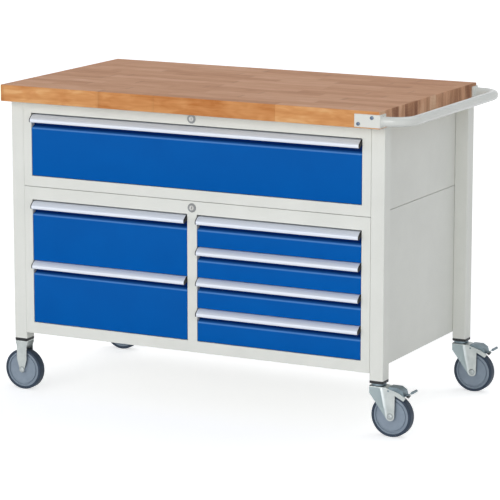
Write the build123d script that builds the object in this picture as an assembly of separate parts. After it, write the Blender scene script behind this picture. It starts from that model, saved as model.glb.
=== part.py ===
from build123d import *
import os
from math import acos, atan2, cos, hypot, radians, sin

# A mobile workbench: a beech top on four square legs, two sheet-steel drawer cases
# between the legs, seven drawers on runners, a push handle and four casters.
# Millimetres. +X to the right, +Y to the back, +Z up, origin on the floor.

# Worktop
WORKTOP_LENGTH = 1250.0
WORKTOP_DEPTH = 700.0
WORKTOP_THICKNESS = 50.0
WORKTOP_EDGE_RADIUS = 2.0
FRONT_OVERHANG = 50.0
REAR_OVERHANG = 2.0
SIDE_OVERHANG = 5.0

# Legs and the plastic plugs that close them
LEG_SIZE = 43.0
LEG_WALL = 2.0
LEG_CORNER_RADIUS = 3.0
LEG_BELOW_CASE = 20.0
PLUG_FLANGE = 8.0
PLUG_INSERT = 24.0
PLUG_CLEARANCE = 0.2

# Folded sheet-steel cases
SHEET = 1.5
SIDE_POST_WIDTH = 27.5
POST_FOLD = 60.0
RAIL_FOLD = 30.0
RIM_FOLD = 20.0
DIVIDER_WIDTH = 32.0
CASE_SEAM = 1.5
LOWER_BOTTOM_RAIL = 34.5
LOWER_OPENING = 381.0
LOWER_TOP_RAIL = 39.0
UPPER_BOTTOM_RAIL = 32.0
UPPER_OPENING = 192.0
UPPER_TOP_RAIL = 37.0

# Drawers
LEFT_DRAWER_COUNT = 2
RIGHT_DRAWER_COUNT = 4
DRAWER_SIDE_GAP = 1.5
DRAWER_TOP_GAP = 4.0
DRAWER_GAP = 1.5
DRAWER_BOTTOM_GAP = 2.0
LOWEST_FRONT_EXTRA = 8.0
FRONT_DEPTH = 20.0
GROOVE_DEPTH = 15.0
LEDGE_BACK_DROP = 34.0
LEDGE_FRONT_DROP = 41.0
TRAY_SHEET = 1.2
TRAY_LIFT = 6.0
TRAY_HEADROOM = 18.0
TRAY_RIM = 8.0
TRAY_REAR_GAP = 45.0

# Aluminium grip strip along the top of each front, with plastic end caps
GRIP_SHEET = 2.0
GRIP_REACH = 19.0
GRIP_NOSE_DROP = 15.0
GRIP_DROP = 23.0
GRIP_TUCK = 5.0
GRIP_BEND = 9.0
GRIP_CAP = 3.0
GRIP_CAP_BACK_DROP = 10.0

# Runners: a fixed channel on the case and a smaller channel on the tray inside it
RUNNER_SPACE = 12.0
RUNNER_SHEET = 1.5
RUNNER_HEIGHT = 30.0
RUNNER_LIFT = 14.0
RUNNER_FLANGE = 10.5
RUNNER_FRONT_GAP = 3.0
RUNNER_CLEARANCE = 0.3

# Cylinder locks in the top rail of each case
LOCK_SLEEVE_DIAMETER = 20.0
LOCK_FLANGE_DIAMETER = 27.0
LOCK_FLANGE = 2.0
LOCK_SLEEVE_LENGTH = 20.0
LOCK_BARREL_DIAMETER = 15.0
LOCK_BARREL_PROUD = 2.6
LOCK_KEYWAY_WIDTH = 1.8
LOCK_KEYWAY_HEIGHT = 8.0
LOCK_KEYWAY_DEPTH = 12.0
LOCK_CAM_REACH = 13.0
LOCK_CAM_WIDTH = 9.0
LOCK_CAM_SHEET = 3.0
LOCK_CLEARANCE = 0.05
LOCK_CAM_GAP = 0.3

# Push handle, its corner brackets and their screws
HANDLE_TUBE = 28.0
HANDLE_WALL = 2.0
HANDLE_REACH = 80.0
HANDLE_BEND = 60.0
BRACKET_SHEET = 4.0
BRACKET_LENGTH = 80.0
BRACKET_HEIGHT = 37.0
BRACKET_RETURN = 40.0
BRACKET_DROP = 9.0
SCREW_DIAMETER = 6.0
SCREW_HEAD_DIAMETER = 11.0
SCREW_HEAD = 3.0
SCREW_LENGTH = 32.0
SCREW_RECESS_DIAMETER = 5.0
SCREW_RECESS = 2.0
SCREW_FREE_EDGE = 12.0
SCREW_BEND_EDGE = 26.0
SCREW_LONG_EDGE = 9.0
SCREW_CLEARANCE = 0.05

# Room around axles, stems, kingpins and pedal pins
PIN_CLEARANCE = 0.05

# Caster wheels
WHEEL_DIAMETER = 125.0
TYRE_WIDTH = 28.0
TYRE_THICKNESS = 8.0
TYRE_SHOULDER = 4.0
RIM_WIDTH = 25.0
RIM_RING = 8.0
RIM_WEB = 21.0
HUB_DIAMETER = 20.0
AXLE_DIAMETER = 12.0
AXLE_HEAD_DIAMETER = 19.0
AXLE_HEAD = 4.0

# Caster forks of pressed steel
FORK_SHEET = 3.0
FORK_GAP = 34.0
FORK_BEND = 4.0
FORK_CLEARANCE = 0.3
FORK_FOOT_RADIUS = 13.5
WHEEL_CLEARANCE = 20.0
CASTER_STEM_DIAMETER = 12.0
CASTER_STEM = 22.0
FIXED_ARM_WIDTH = 34.0
FIXED_FOOT_RADIUS = 8.0
FIXED_TAPER_RISE = 32.0
FIXED_CROWN_LENGTH = 41.0
FIXED_CROWN_DROP = 9.0

# Swivel casters: head, offset and foot brake
SWIVEL_OFFSET = 44.0
SWIVEL_HEAD_DIAMETER = 44.0
SWIVEL_HEAD = 6.7
KINGPIN_DIAMETER = 20.0
KINGPIN_COLLAR_DIAMETER = 30.0
KINGPIN_COLLAR = 4.0
FORK_LEAD = 22.0
FORK_LEAD_DROP = 22.0
SHOULDER_ANGLE = 50.0
SHOULDER_DEPTH = 12.0
SHOULDER_CLEARANCE = 2.0
PEDAL_SHEET = 3.0
PEDAL_ROLL_DIAMETER = 8.0
PEDAL_CLEARANCE = 11.5
PEDAL_PIN_DIAMETER = 6.0
PEDAL_HUB_DIAMETER = 12.0
PEDAL_PIN_BACK = 6.0
PEDAL_PIN_DROP = 8.0
PEDAL_HEEL_ANGLE = 56.0
PEDAL_TIP_REACH = 66.5
PEDAL_TIP_RISE = 76.0
PEDAL_HOOD_RISE = 1.0
PEDAL_HOOD_REACH = 38.0
PEDAL_HOOD_SLANT = 15.0
PEDAL_HOOD_FALL = 9.0

# Places that follow from the sizes above
wheel_radius = WHEEL_DIAMETER / 2
crown_bottom = WHEEL_DIAMETER + WHEEL_CLEARANCE
crown_top = crown_bottom + FORK_SHEET
caster_top = crown_top + FORK_CLEARANCE + SWIVEL_HEAD
leg_bottom = caster_top + PLUG_FLANGE
lower_bottom = leg_bottom + LEG_BELOW_CASE
lower_opening_bottom = lower_bottom + LOWER_BOTTOM_RAIL
lower_top = lower_opening_bottom + LOWER_OPENING + LOWER_TOP_RAIL
upper_bottom = lower_top + CASE_SEAM
upper_opening_bottom = upper_bottom + UPPER_BOTTOM_RAIL
upper_top = upper_opening_bottom + UPPER_OPENING + UPPER_TOP_RAIL
worktop_top = upper_top + WORKTOP_THICKNESS

worktop_end = WORKTOP_LENGTH / 2
worktop_face = WORKTOP_DEPTH / 2
front_y = -worktop_face + FRONT_OVERHANG
back_y = worktop_face - REAR_OVERHANG
frame_end = worktop_end - SIDE_OVERHANG
case_end = frame_end - LEG_SIZE
opening_end = case_end - SIDE_POST_WIDTH
leg_x = frame_end - LEG_SIZE / 2
leg_front_y = front_y + LEG_SIZE / 2
leg_back_y = back_y - LEG_SIZE / 2
handle_y = worktop_face + BRACKET_SHEET - HANDLE_TUBE / 2
handle_z = worktop_top - BRACKET_DROP - BRACKET_HEIGHT / 2

# The origin lies under the middle of the whole part, from the left wheels to the handle
left_reach = max(leg_x + wheel_radius, worktop_end)
right_reach = worktop_end + HANDLE_REACH + HANDLE_TUBE / 2
middle_x = (right_reach - left_reach) / 2

os.makedirs("parts", exist_ok=True)


def save(node, *solids):
    """Write one node, a solid or a group of separate solids, at its place in the part's frame."""
    placed = [Pos(-middle_x, 0, 0) * solid for solid in solids]
    export_step(placed[0] if len(placed) == 1 else Compound(children=placed), f"parts/{node}.step")


def block(x0, x1, y0, y1, z0, z1):
    """A box between two corners."""
    return Pos((x0 + x1) / 2, (y0 + y1) / 2, (z0 + z1) / 2) * Box(x1 - x0, y1 - y0, z1 - z0)


def rod_y(x, z, y0, y1, radius):
    """A round bar along Y."""
    return Pos(x, (y0 + y1) / 2, z) * Rot(90, 0, 0) * Cylinder(radius, y1 - y0)


def rod_z(x, y, z0, z1, radius):
    """A round bar along Z."""
    return Pos(x, y, (z0 + z1) / 2) * Cylinder(radius, z1 - z0)


def prism_x(outline, x0, x1):
    """An outline of (y, z) points drawn out along X."""
    wire = Polyline(*[(x0, y, z) for y, z in outline], close=True)
    return extrude(make_face(wire), amount=x1 - x0, dir=(1, 0, 0))


def prism_y(outline, y0, y1):
    """An outline of (x, z) points drawn out along Y."""
    wire = Polyline(*[(x, y0, z) for x, z in outline], close=True)
    return extrude(make_face(wire), amount=y1 - y0, dir=(0, 1, 0))


def mirrored_x(solid):
    """The same piece on the other end of the bench."""
    return mirror(solid, Plane.YZ)


# Worktop: one slab of glued beech with screw holes in its front and back edges
bracket_end = worktop_end + BRACKET_SHEET
bracket_bottom = worktop_top - BRACKET_DROP - BRACKET_HEIGHT
screw_places = [
    (bracket_end - SCREW_BEND_EDGE, bracket_bottom + BRACKET_HEIGHT - SCREW_LONG_EDGE),
    (bracket_end - BRACKET_LENGTH + SCREW_FREE_EDGE, bracket_bottom + SCREW_LONG_EDGE),
]
bracket_face = worktop_face + BRACKET_SHEET


def bracket_screw(x, z, side):
    """A pan-head screw that goes in from the front (side -1) or the back (side 1)."""
    seat = side * bracket_face
    top = seat + side * SCREW_HEAD
    tip = seat - side * SCREW_LENGTH
    shank = rod_y(x, z, min(seat, tip), max(seat, tip), SCREW_DIAMETER / 2)
    head = rod_y(x, z, min(seat, top), max(seat, top), SCREW_HEAD_DIAMETER / 2)
    floor = top - side * SCREW_RECESS
    recess = rod_y(x, z, min(floor, top), max(floor, top), SCREW_RECESS_DIAMETER / 2)
    return shank + head - recess


def screw_hole(x, z, side):
    """The hole that a bracket screw fits, with a little room at its tip."""
    tip = side * (bracket_face - SCREW_LENGTH - SCREW_CLEARANCE)
    mouth = side * (bracket_face + SCREW_CLEARANCE)
    return rod_y(x, z, min(tip, mouth), max(tip, mouth), SCREW_DIAMETER / 2 + SCREW_CLEARANCE)


slab = block(-worktop_end, worktop_end, -worktop_face, worktop_face, upper_top, worktop_top)
slab = fillet(slab.edges(), WORKTOP_EDGE_RADIUS)
for side in (-1, 1):
    for x, z in screw_places:
        slab -= screw_hole(x, z, side)
save("worktop", slab)


# Legs: square tubes from the plugs to the underside of the worktop
def leg(x, y):
    """One leg tube, centred on x and y."""
    section = RectangleRounded(LEG_SIZE, LEG_SIZE, LEG_CORNER_RADIUS)
    section -= Rectangle(LEG_SIZE - 2 * LEG_WALL, LEG_SIZE - 2 * LEG_WALL)
    return Pos(x, y, leg_bottom) * extrude(section, amount=upper_top - leg_bottom)


def leg_plug(x, y):
    """A plug: a flange under the leg, an insert inside the tube and a bore for the caster's stem."""
    flange = extrude(RectangleRounded(LEG_SIZE, LEG_SIZE, LEG_CORNER_RADIUS), amount=PLUG_FLANGE)
    insert_size = LEG_SIZE - 2 * LEG_WALL - 2 * PLUG_CLEARANCE
    insert = Pos(0, 0, PLUG_FLANGE) * extrude(Rectangle(insert_size, insert_size), amount=PLUG_INSERT)
    bore_top = CASTER_STEM + PIN_CLEARANCE
    bore = rod_z(0, 0, 0, bore_top, CASTER_STEM_DIAMETER / 2 + PIN_CLEARANCE)
    return Pos(x, y, caster_top) * (flange + insert - bore)


leg_places = {
    "front_left": (-leg_x, leg_front_y),
    "front_right": (leg_x, leg_front_y),
    "rear_left": (-leg_x, leg_back_y),
    "rear_right": (leg_x, leg_back_y),
}
for corner, place in leg_places.items():
    save(f"leg_{corner}", leg(*place))
save("leg_plugs", *[leg_plug(*place) for place in leg_places.values()])


# Cases: folded shells, open at the top, with posts and rails around the drawer openings
def front_post(x0, x1, z0, z1, fold_x):
    """A front post: its face, and the fold at fold_x that the runners sit on."""
    face = block(x0, x1, front_y, front_y + SHEET, z0, z1)
    fold = block(fold_x, fold_x + SHEET, front_y, front_y + POST_FOLD, z0, z1)
    return face + fold


def drawer_case(bottom, opening_bottom, opening_top, top):
    """One case: sides, back, floor, rims, two posts and the rails above and below the opening."""
    back_panel = block(-case_end, case_end, back_y - SHEET, back_y, bottom, top)
    floor = block(-case_end, case_end, front_y, back_y, bottom, bottom + SHEET)
    back_rim = block(-case_end, case_end, back_y - RIM_FOLD, back_y, top - SHEET, top)
    shell = back_panel + floor + back_rim
    wall = block(-case_end, -case_end + SHEET, front_y, back_y, bottom, top)
    rim = block(-case_end, -case_end + RIM_FOLD, front_y, back_y, top - SHEET, top)
    post = front_post(-case_end, -opening_end, bottom, top, -opening_end - SHEET)
    side = wall + rim + post
    shell = shell + side + mirrored_x(side)
    rail_end = front_y + RAIL_FOLD
    shell += block(-case_end, case_end, front_y, front_y + SHEET, bottom, opening_bottom)
    shell += block(-opening_end, opening_end, front_y, rail_end, opening_bottom - SHEET, opening_bottom)
    shell += block(-case_end, case_end, front_y, front_y + SHEET, opening_top, top)
    shell += block(-opening_end, opening_end, front_y, rail_end, opening_top, opening_top + SHEET)
    shell += block(-case_end, case_end, front_y, rail_end, top - SHEET, top)
    lock_hole = LOCK_SLEEVE_DIAMETER / 2 + LOCK_CLEARANCE
    return shell - rod_y(0, (opening_top + top) / 2, front_y - SHEET, front_y + 2 * SHEET, lock_hole)


lower_opening_top = lower_opening_bottom + LOWER_OPENING
upper_opening_top = upper_opening_bottom + UPPER_OPENING
divider_end = DIVIDER_WIDTH / 2
lower_case = drawer_case(lower_bottom, lower_opening_bottom, lower_opening_top, lower_top)
divider_wall = block(
    -divider_end, -divider_end + SHEET, front_y, back_y - SHEET, lower_bottom, lower_opening_top
)
lower_case += divider_wall + mirrored_x(divider_wall)
lower_case += block(
    -divider_end, divider_end, front_y, front_y + SHEET, lower_opening_bottom, lower_opening_top
)
save("lower_case", lower_case)
save("upper_case", drawer_case(upper_bottom, upper_opening_bottom, upper_opening_top, upper_top))


# Locks: a sleeve in each top rail, and a barrel that turns in it with a cam on its inner end
def lock_sleeve(z):
    """The fixed sleeve with its flange on the face of the rail."""
    body = rod_y(0, z, front_y, front_y + LOCK_SLEEVE_LENGTH, LOCK_SLEEVE_DIAMETER / 2)
    flange = rod_y(0, z, front_y - LOCK_FLANGE, front_y, LOCK_FLANGE_DIAMETER / 2)
    bore_radius = LOCK_BARREL_DIAMETER / 2 + LOCK_CLEARANCE
    bore_end = front_y + LOCK_SLEEVE_LENGTH
    return body + flange - rod_y(0, z, front_y - LOCK_FLANGE, bore_end, bore_radius)


def lock_barrel(z):
    """The turning barrel with its keyway, and the cam behind the sleeve."""
    mouth = front_y - LOCK_BARREL_PROUD
    cam_start = front_y + LOCK_SLEEVE_LENGTH + LOCK_CAM_GAP
    cam_end = cam_start + LOCK_CAM_SHEET
    barrel = rod_y(0, z, mouth, cam_end, LOCK_BARREL_DIAMETER / 2)
    cam_half = LOCK_CAM_WIDTH / 2
    cam = block(-cam_half, cam_half, cam_start, cam_end, z - LOCK_CAM_REACH, z)
    key_half = LOCK_KEYWAY_WIDTH / 2
    key_rise = LOCK_KEYWAY_HEIGHT / 2
    keyway = block(-key_half, key_half, mouth, mouth + LOCK_KEYWAY_DEPTH, z - key_rise, z + key_rise)
    return barrel + cam - keyway


lock_heights = {"upper": (upper_opening_top + upper_top) / 2, "lower": (lower_opening_top + lower_top) / 2}
save("lock_sleeves", *[lock_sleeve(z) for z in lock_heights.values()])
for case_name, z in lock_heights.items():
    save(f"{case_name}_lock_barrel", lock_barrel(z))


# Drawers: a tray with its runner channels, a folded front, a grip strip and two end caps
def front_bays(opening_bottom, opening_height, count):
    """The (bottom, top) of each front in one opening, from the top down; the lowest of a stack is taller."""
    extra = LOWEST_FRONT_EXTRA if count > 1 else 0
    gaps = DRAWER_TOP_GAP + DRAWER_BOTTOM_GAP + (count - 1) * DRAWER_GAP
    height = (opening_height - gaps - extra) / count
    highest = opening_bottom + opening_height - DRAWER_TOP_GAP
    tops = [highest - row * (height + DRAWER_GAP) for row in range(count)]
    bays = [(top - height, top) for top in tops[:-1]]
    return bays + [(tops[-1] - height - extra, tops[-1])]


front_back = front_y + FRONT_DEPTH
tray_front = front_back + TRAY_SHEET
tray_back = back_y - SHEET - TRAY_REAR_GAP
groove_back = front_y + GROOVE_DEPTH


def drawer_front(x0, x1, bottom, top):
    """A folded front: a flat face, a ledge back to the finger groove, and flanges around it."""
    rise = LEDGE_FRONT_DROP - LEDGE_BACK_DROP
    inset = SHEET * (hypot(GROOVE_DEPTH, rise) - rise) / GROOVE_DEPTH
    flange_top = top - GRIP_SHEET
    skin = [
        (front_y, bottom),
        (front_y, top - LEDGE_FRONT_DROP),
        (groove_back, top - LEDGE_BACK_DROP),
        (groove_back, flange_top),
        (front_back, flange_top),
        (front_back, bottom),
    ]
    hollow = [
        (front_y + SHEET, bottom + SHEET),
        (front_y + SHEET, top - LEDGE_FRONT_DROP - inset),
        (groove_back + SHEET, top - LEDGE_BACK_DROP - inset),
        (groove_back + SHEET, flange_top - SHEET),
        (front_back, flange_top - SHEET),
        (front_back, bottom + SHEET),
    ]
    return prism_x(skin, x0, x1) - prism_x(hollow, x0 + SHEET, x1 - SHEET)


def sunk(corners, depth):
    """The (y, z) corners of a line that runs at a depth under the line through these corners."""
    inward = []
    for (y0, z0), (y1, z1) in zip(corners, corners[1:]):
        length = hypot(y1 - y0, z1 - z0)
        inward.append(((z0 - z1) / length, (y1 - y0) / length))
    moved = []
    for (y, z), (ny, nz), (my, mz) in zip(corners, inward[:1] + inward, inward + inward[-1:]):
        share = depth / (1 + ny * my + nz * mz)
        moved.append((y + share * (ny + my), z + share * (nz + mz)))
    return moved


def grip_corners(top, depth):
    """The corners of the grip strip's section, at a depth under its face: flange, slope, nose and lip."""
    nose_y = front_y - GRIP_REACH
    face = [
        (front_back, top),
        (front_y, top),
        (nose_y, top - GRIP_NOSE_DROP),
        (nose_y + GRIP_TUCK, top - GRIP_DROP),
    ]
    return sunk(face, depth)


def grip_line(x, top, depth):
    """A line along the grip strip's section, at a depth under its face, with its bends rounded."""
    return FilletPolyline(*[(x, y, z) for y, z in grip_corners(top, depth)], radius=GRIP_BEND - depth)


def drawer_grip(x0, x1, top):
    """The grip strip: a leg on the front's flange, a sloping face, a round nose and a lip to pull by."""
    face = grip_line(x0 + GRIP_CAP, top, 0)
    back = grip_line(x0 + GRIP_CAP, top, GRIP_SHEET)
    edges = face.edges() + back.edges() + Line(face @ 0, back @ 0).edges() + Line(face @ 1, back @ 1).edges()
    return extrude(make_face(edges), amount=x1 - x0 - 2 * GRIP_CAP, dir=(1, 0, 0))


def grip_cap(x, top):
    """An end cap from x on, which closes the space between the grip strip and the groove."""
    face = grip_line(x, top, 0)
    corners = [
        grip_corners(top, GRIP_SHEET)[-1],
        (groove_back, top - GRIP_CAP_BACK_DROP),
        (groove_back, top - GRIP_SHEET),
        (front_back, top - GRIP_SHEET),
    ]
    back = Polyline(face @ 1, *[(x, y, z) for y, z in corners], face @ 0)
    return extrude(make_face(face.edges() + back.edges()), amount=GRIP_CAP, dir=(1, 0, 0))


def tray_runner(side_x, out, z):
    """The channel on one side of the tray; out is -1 on its left side and 1 on its right."""
    reach = RUNNER_SPACE - RUNNER_SHEET - RUNNER_CLEARANCE
    half = RUNNER_HEIGHT / 2 - RUNNER_SHEET - RUNNER_CLEARANCE
    web = sorted((side_x, side_x + out * RUNNER_SHEET))
    span = sorted((side_x, side_x + out * reach))
    channel = block(*web, tray_front, tray_back, z - half, z + half)
    channel += block(*span, tray_front, tray_back, z - half, z - half + RUNNER_SHEET)
    channel += block(*span, tray_front, tray_back, z + half - RUNNER_SHEET, z + half)
    return channel


def case_runner(side_x, inward, z):
    """The channel on one side of the opening; inward is 1 on its left side and -1 on its right."""
    half = RUNNER_HEIGHT / 2
    web = sorted((side_x, side_x + inward * RUNNER_SHEET))
    span = sorted((side_x, side_x + inward * RUNNER_FLANGE))
    start = tray_front + RUNNER_FRONT_GAP
    end = back_y - SHEET
    channel = block(*web, start, end, z - half, z + half)
    channel += block(*span, start, end, z - half, z - half + RUNNER_SHEET)
    channel += block(*span, start, end, z + half - RUNNER_SHEET, z + half)
    return channel


def drawer_tray(x0, x1, bottom, top):
    """The open tray: a back plate for the front, four walls, a floor and a rim folded out at each side."""
    plate_x = (x0 + DRAWER_SIDE_GAP, x1 - DRAWER_SIDE_GAP)
    plate = block(*plate_x, front_back, tray_front, bottom, top - GRIP_SHEET)
    left = x0 + RUNNER_SPACE
    right = x1 - RUNNER_SPACE
    floor_z = bottom + TRAY_LIFT
    rim_z = top - TRAY_HEADROOM
    body = block(left, right, front_back, tray_back, floor_z, rim_z)
    hollow = block(
        left + TRAY_SHEET, right - TRAY_SHEET, tray_front, tray_back - TRAY_SHEET, floor_z + TRAY_SHEET, rim_z
    )
    rim = block(left - TRAY_RIM, right + TRAY_RIM, front_back, tray_back, rim_z - TRAY_SHEET, rim_z)
    return plate + body + rim - hollow


openings = {
    "top_drawer": (-opening_end, opening_end, upper_opening_bottom, UPPER_OPENING, 1),
    "left_drawer": (-opening_end, -divider_end, lower_opening_bottom, LOWER_OPENING, LEFT_DRAWER_COUNT),
    "right_drawer": (divider_end, opening_end, lower_opening_bottom, LOWER_OPENING, RIGHT_DRAWER_COUNT),
}
fixed_runners = []
for family, (x0, x1, opening_bottom, opening_height, count) in openings.items():
    for row, (bottom, top) in enumerate(front_bays(opening_bottom, opening_height, count), start=1):
        drawer = family if count == 1 else f"{family}_{row}"
        runner_z = bottom + RUNNER_LIFT + RUNNER_HEIGHT / 2
        fixed_runners.append(case_runner(x0, 1, runner_z))
        fixed_runners.append(case_runner(x1, -1, runner_z))
        left_channel = tray_runner(x0 + RUNNER_SPACE, -1, runner_z)
        right_channel = tray_runner(x1 - RUNNER_SPACE, 1, runner_z)
        save(f"{drawer}_tray", drawer_tray(x0, x1, bottom, top), left_channel, right_channel)
        face_x0 = x0 + DRAWER_SIDE_GAP
        face_x1 = x1 - DRAWER_SIDE_GAP
        save(f"{drawer}_front", drawer_front(face_x0, face_x1, bottom, top))
        save(f"{drawer}_grip", drawer_grip(face_x0, face_x1, top))
        save(f"{drawer}_grip_caps", grip_cap(face_x0, top), grip_cap(face_x1 - GRIP_CAP, top))
save("case_runners", *fixed_runners)


# Push handle: a bent tube between two corner brackets screwed to the worktop
def corner_bracket(side):
    """An angle around one corner of the worktop's right end: front (side -1) or back (side 1)."""
    face = side * bracket_face
    inner = side * worktop_face
    return_end = side * (bracket_face - BRACKET_RETURN)
    height = (bracket_bottom, bracket_bottom + BRACKET_HEIGHT)
    plate = block(bracket_end - BRACKET_LENGTH, bracket_end, min(face, inner), max(face, inner), *height)
    flange = block(worktop_end, bracket_end, min(face, return_end), max(face, return_end), *height)
    angle = plate + flange
    end_edges = angle.edges().filter_by(Axis.Z).group_by(Axis.X)[-1].sort_by(Axis.Y)
    angle = fillet(end_edges[0 if side < 0 else -1], BRACKET_SHEET / 2)
    for x, z in screw_places:
        angle -= screw_hole(x, z, side)
    return angle


handle_out = worktop_end + HANDLE_REACH
handle_path = FilletPolyline(
    (bracket_end, -handle_y, handle_z),
    (handle_out, -handle_y, handle_z),
    (handle_out, handle_y, handle_z),
    (bracket_end, handle_y, handle_z),
    radius=HANDLE_BEND,
)
tube_plane = Plane(origin=(bracket_end, -handle_y, handle_z), x_dir=(0, 1, 0), z_dir=(1, 0, 0))
tube_section = Circle(HANDLE_TUBE / 2) - Circle(HANDLE_TUBE / 2 - HANDLE_WALL)
save("push_handle", sweep(tube_plane * tube_section, path=handle_path))
save("push_handle_brackets", corner_bracket(-1), corner_bracket(1))
bracket_screws = [bracket_screw(x, z, side) for side in (-1, 1) for x, z in screw_places]
save("bracket_screws", *bracket_screws)

# Wheels: a moulded rim with a hub, a web and a ring, and a tyre on the ring
rim_radius = wheel_radius - TYRE_THICKNESS
hub_half = FORK_GAP / 2 - FORK_CLEARANCE


def turned_y(outline, x, y):
    """An outline of (radius, offset) points turned about an axle along Y at axle height."""
    wire = Polyline(*[(radius, offset, 0) for radius, offset in outline], close=True)
    return Pos(x, y, wheel_radius) * revolve(make_face(wire), axis=Axis.Y)


def wheel_rim(x, y):
    """The rim: bore, hub, thin web and the ring that carries the tyre."""
    bore = AXLE_DIAMETER / 2 + PIN_CLEARANCE
    hub = HUB_DIAMETER / 2
    ring = rim_radius - RIM_RING
    half_side = [
        (bore, hub_half),
        (hub, hub_half),
        (hub, RIM_WEB / 2),
        (ring, RIM_WEB / 2),
        (ring, RIM_WIDTH / 2),
        (rim_radius, RIM_WIDTH / 2),
    ]
    other_side = [(radius, -offset) for radius, offset in reversed(half_side)]
    return turned_y(half_side + other_side, x, y)


def wheel_tyre(x, y):
    """The tyre: a band with rounded shoulders."""
    half = TYRE_WIDTH / 2
    band = Pos(x, y, wheel_radius) * Rot(90, 0, 0) * Cylinder(wheel_radius, TYRE_WIDTH)
    band = fillet(band.edges().filter_by(GeomType.CIRCLE), TYRE_SHOULDER)
    return band - rod_y(x, wheel_radius, y - half, y + half, rim_radius)


arm_out = FORK_GAP / 2 + FORK_SHEET


def caster_axle(x, y):
    """An axle pin with a head outside each arm of the fork."""
    pin = rod_y(x, wheel_radius, y - arm_out, y + arm_out, AXLE_DIAMETER / 2)
    for side in (-1, 1):
        near = y + side * arm_out
        far = near + side * AXLE_HEAD
        pin += rod_y(x, wheel_radius, min(near, far), max(near, far), AXLE_HEAD_DIAMETER / 2)
    return pin


def fork_from(arm_shape, x, y, top):
    """Bend an arm outline, drawn out over the fork's width, into a fork with a crown under top."""
    half = FORK_GAP / 2
    wheel_gap = block(x - WHEEL_DIAMETER, x + WHEEL_DIAMETER, y - half, y + half, 0, top - FORK_SHEET)
    bends = arm_shape.edges().filter_by(Axis.X).group_by(Axis.Z)[-1]
    return fillet(bends, FORK_BEND) - wheel_gap


def axle_hole(x, y):
    """The hole through both arms of a fork."""
    return rod_y(x, wheel_radius, y - arm_out, y + arm_out, AXLE_DIAMETER / 2 + PIN_CLEARANCE)


def fixed_fork(x, y):
    """A fixed fork: a crown under the leg plug, straight arms and a stem up into the plug."""
    half = FIXED_ARM_WIDTH / 2
    crown_half = FIXED_CROWN_LENGTH / 2
    taper = wheel_radius + FIXED_TAPER_RISE
    outline = [
        (x - crown_half, caster_top),
        (x + crown_half, caster_top),
        (x + crown_half, caster_top - FIXED_CROWN_DROP),
        (x + half, caster_top - 2 * FIXED_CROWN_DROP),
        (x + half, taper),
        (x + FIXED_FOOT_RADIUS, wheel_radius),
        (x - FIXED_FOOT_RADIUS, wheel_radius),
        (x - half, taper),
        (x - half, caster_top - 2 * FIXED_CROWN_DROP),
        (x - crown_half, caster_top - FIXED_CROWN_DROP),
    ]
    arm = prism_y(outline, y - arm_out, y + arm_out)
    foot = rod_y(x, wheel_radius, y - arm_out, y + arm_out, FIXED_FOOT_RADIUS)
    stem = rod_z(x, y, caster_top, caster_top + CASTER_STEM, CASTER_STEM_DIAMETER / 2)
    return fork_from(arm + foot, x, y, caster_top) + stem - axle_hole(x, y)


def swivel_head(x, y):
    """The fixed half of a swivel: a race under the plug, a kingpin, its collar and the stem."""
    race_bottom = crown_top + FORK_CLEARANCE
    collar_top = crown_bottom - FORK_CLEARANCE
    head = rod_z(x, y, race_bottom, caster_top, SWIVEL_HEAD_DIAMETER / 2)
    head += rod_z(x, y, collar_top, race_bottom, KINGPIN_DIAMETER / 2)
    head += rod_z(x, y, collar_top - KINGPIN_COLLAR, collar_top, KINGPIN_COLLAR_DIAMETER / 2)
    return head + rod_z(x, y, caster_top, caster_top + CASTER_STEM, CASTER_STEM_DIAMETER / 2)


def around_axle(x, radius, angle):
    """A point at a radius and an angle above level, behind the axle of a swivel caster."""
    turn = radians(angle)
    return (x + SWIVEL_OFFSET + radius * cos(turn), wheel_radius + radius * sin(turn))


pedal_pin_x = SWIVEL_OFFSET - PEDAL_PIN_BACK
pedal_pin_z = crown_bottom - PEDAL_PIN_DROP


def swivel_fork(x, y):
    """A swivel fork: arms that lead the axle back, with a shoulder over the tyre for the brake."""
    axle_x = x + SWIVEL_OFFSET
    shoulder_in = wheel_radius + SHOULDER_CLEARANCE
    shoulder_out = shoulder_in + SHOULDER_DEPTH
    lead = (x - FORK_LEAD, crown_top - FORK_LEAD_DROP)
    lead_x, lead_z = lead[0] - axle_x, lead[1] - wheel_radius
    foot_turn = atan2(lead_z, lead_x) + acos(FORK_FOOT_RADIUS / hypot(lead_x, lead_z))
    outline = [
        (x - FORK_LEAD, crown_top),
        (x + FORK_LEAD, crown_top),
        around_axle(x, shoulder_out, 90 - (90 - SHOULDER_ANGLE) / 2),
        around_axle(x, shoulder_out, SHOULDER_ANGLE),
        around_axle(x, shoulder_in, SHOULDER_ANGLE),
        around_axle(x, shoulder_in, 90 - (90 - SHOULDER_ANGLE) / 3),
        (axle_x + FORK_FOOT_RADIUS, wheel_radius),
        (axle_x + FORK_FOOT_RADIUS * cos(foot_turn), wheel_radius + FORK_FOOT_RADIUS * sin(foot_turn)),
        lead,
    ]
    arm = prism_y(outline, y - arm_out, y + arm_out)
    arm += rod_y(axle_x, wheel_radius, y - arm_out, y + arm_out, FORK_FOOT_RADIUS)
    fork = fork_from(arm, x, y, crown_top) - axle_hole(axle_x, y)
    kingpin_hole = KINGPIN_DIAMETER / 2 + PIN_CLEARANCE
    fork -= rod_z(x, y, crown_bottom, crown_top, kingpin_hole)
    pin_hole = PEDAL_PIN_DIAMETER / 2 + PIN_CLEARANCE
    return fork - rod_y(x + pedal_pin_x, pedal_pin_z, y - arm_out, y + arm_out, pin_hole)


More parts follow.
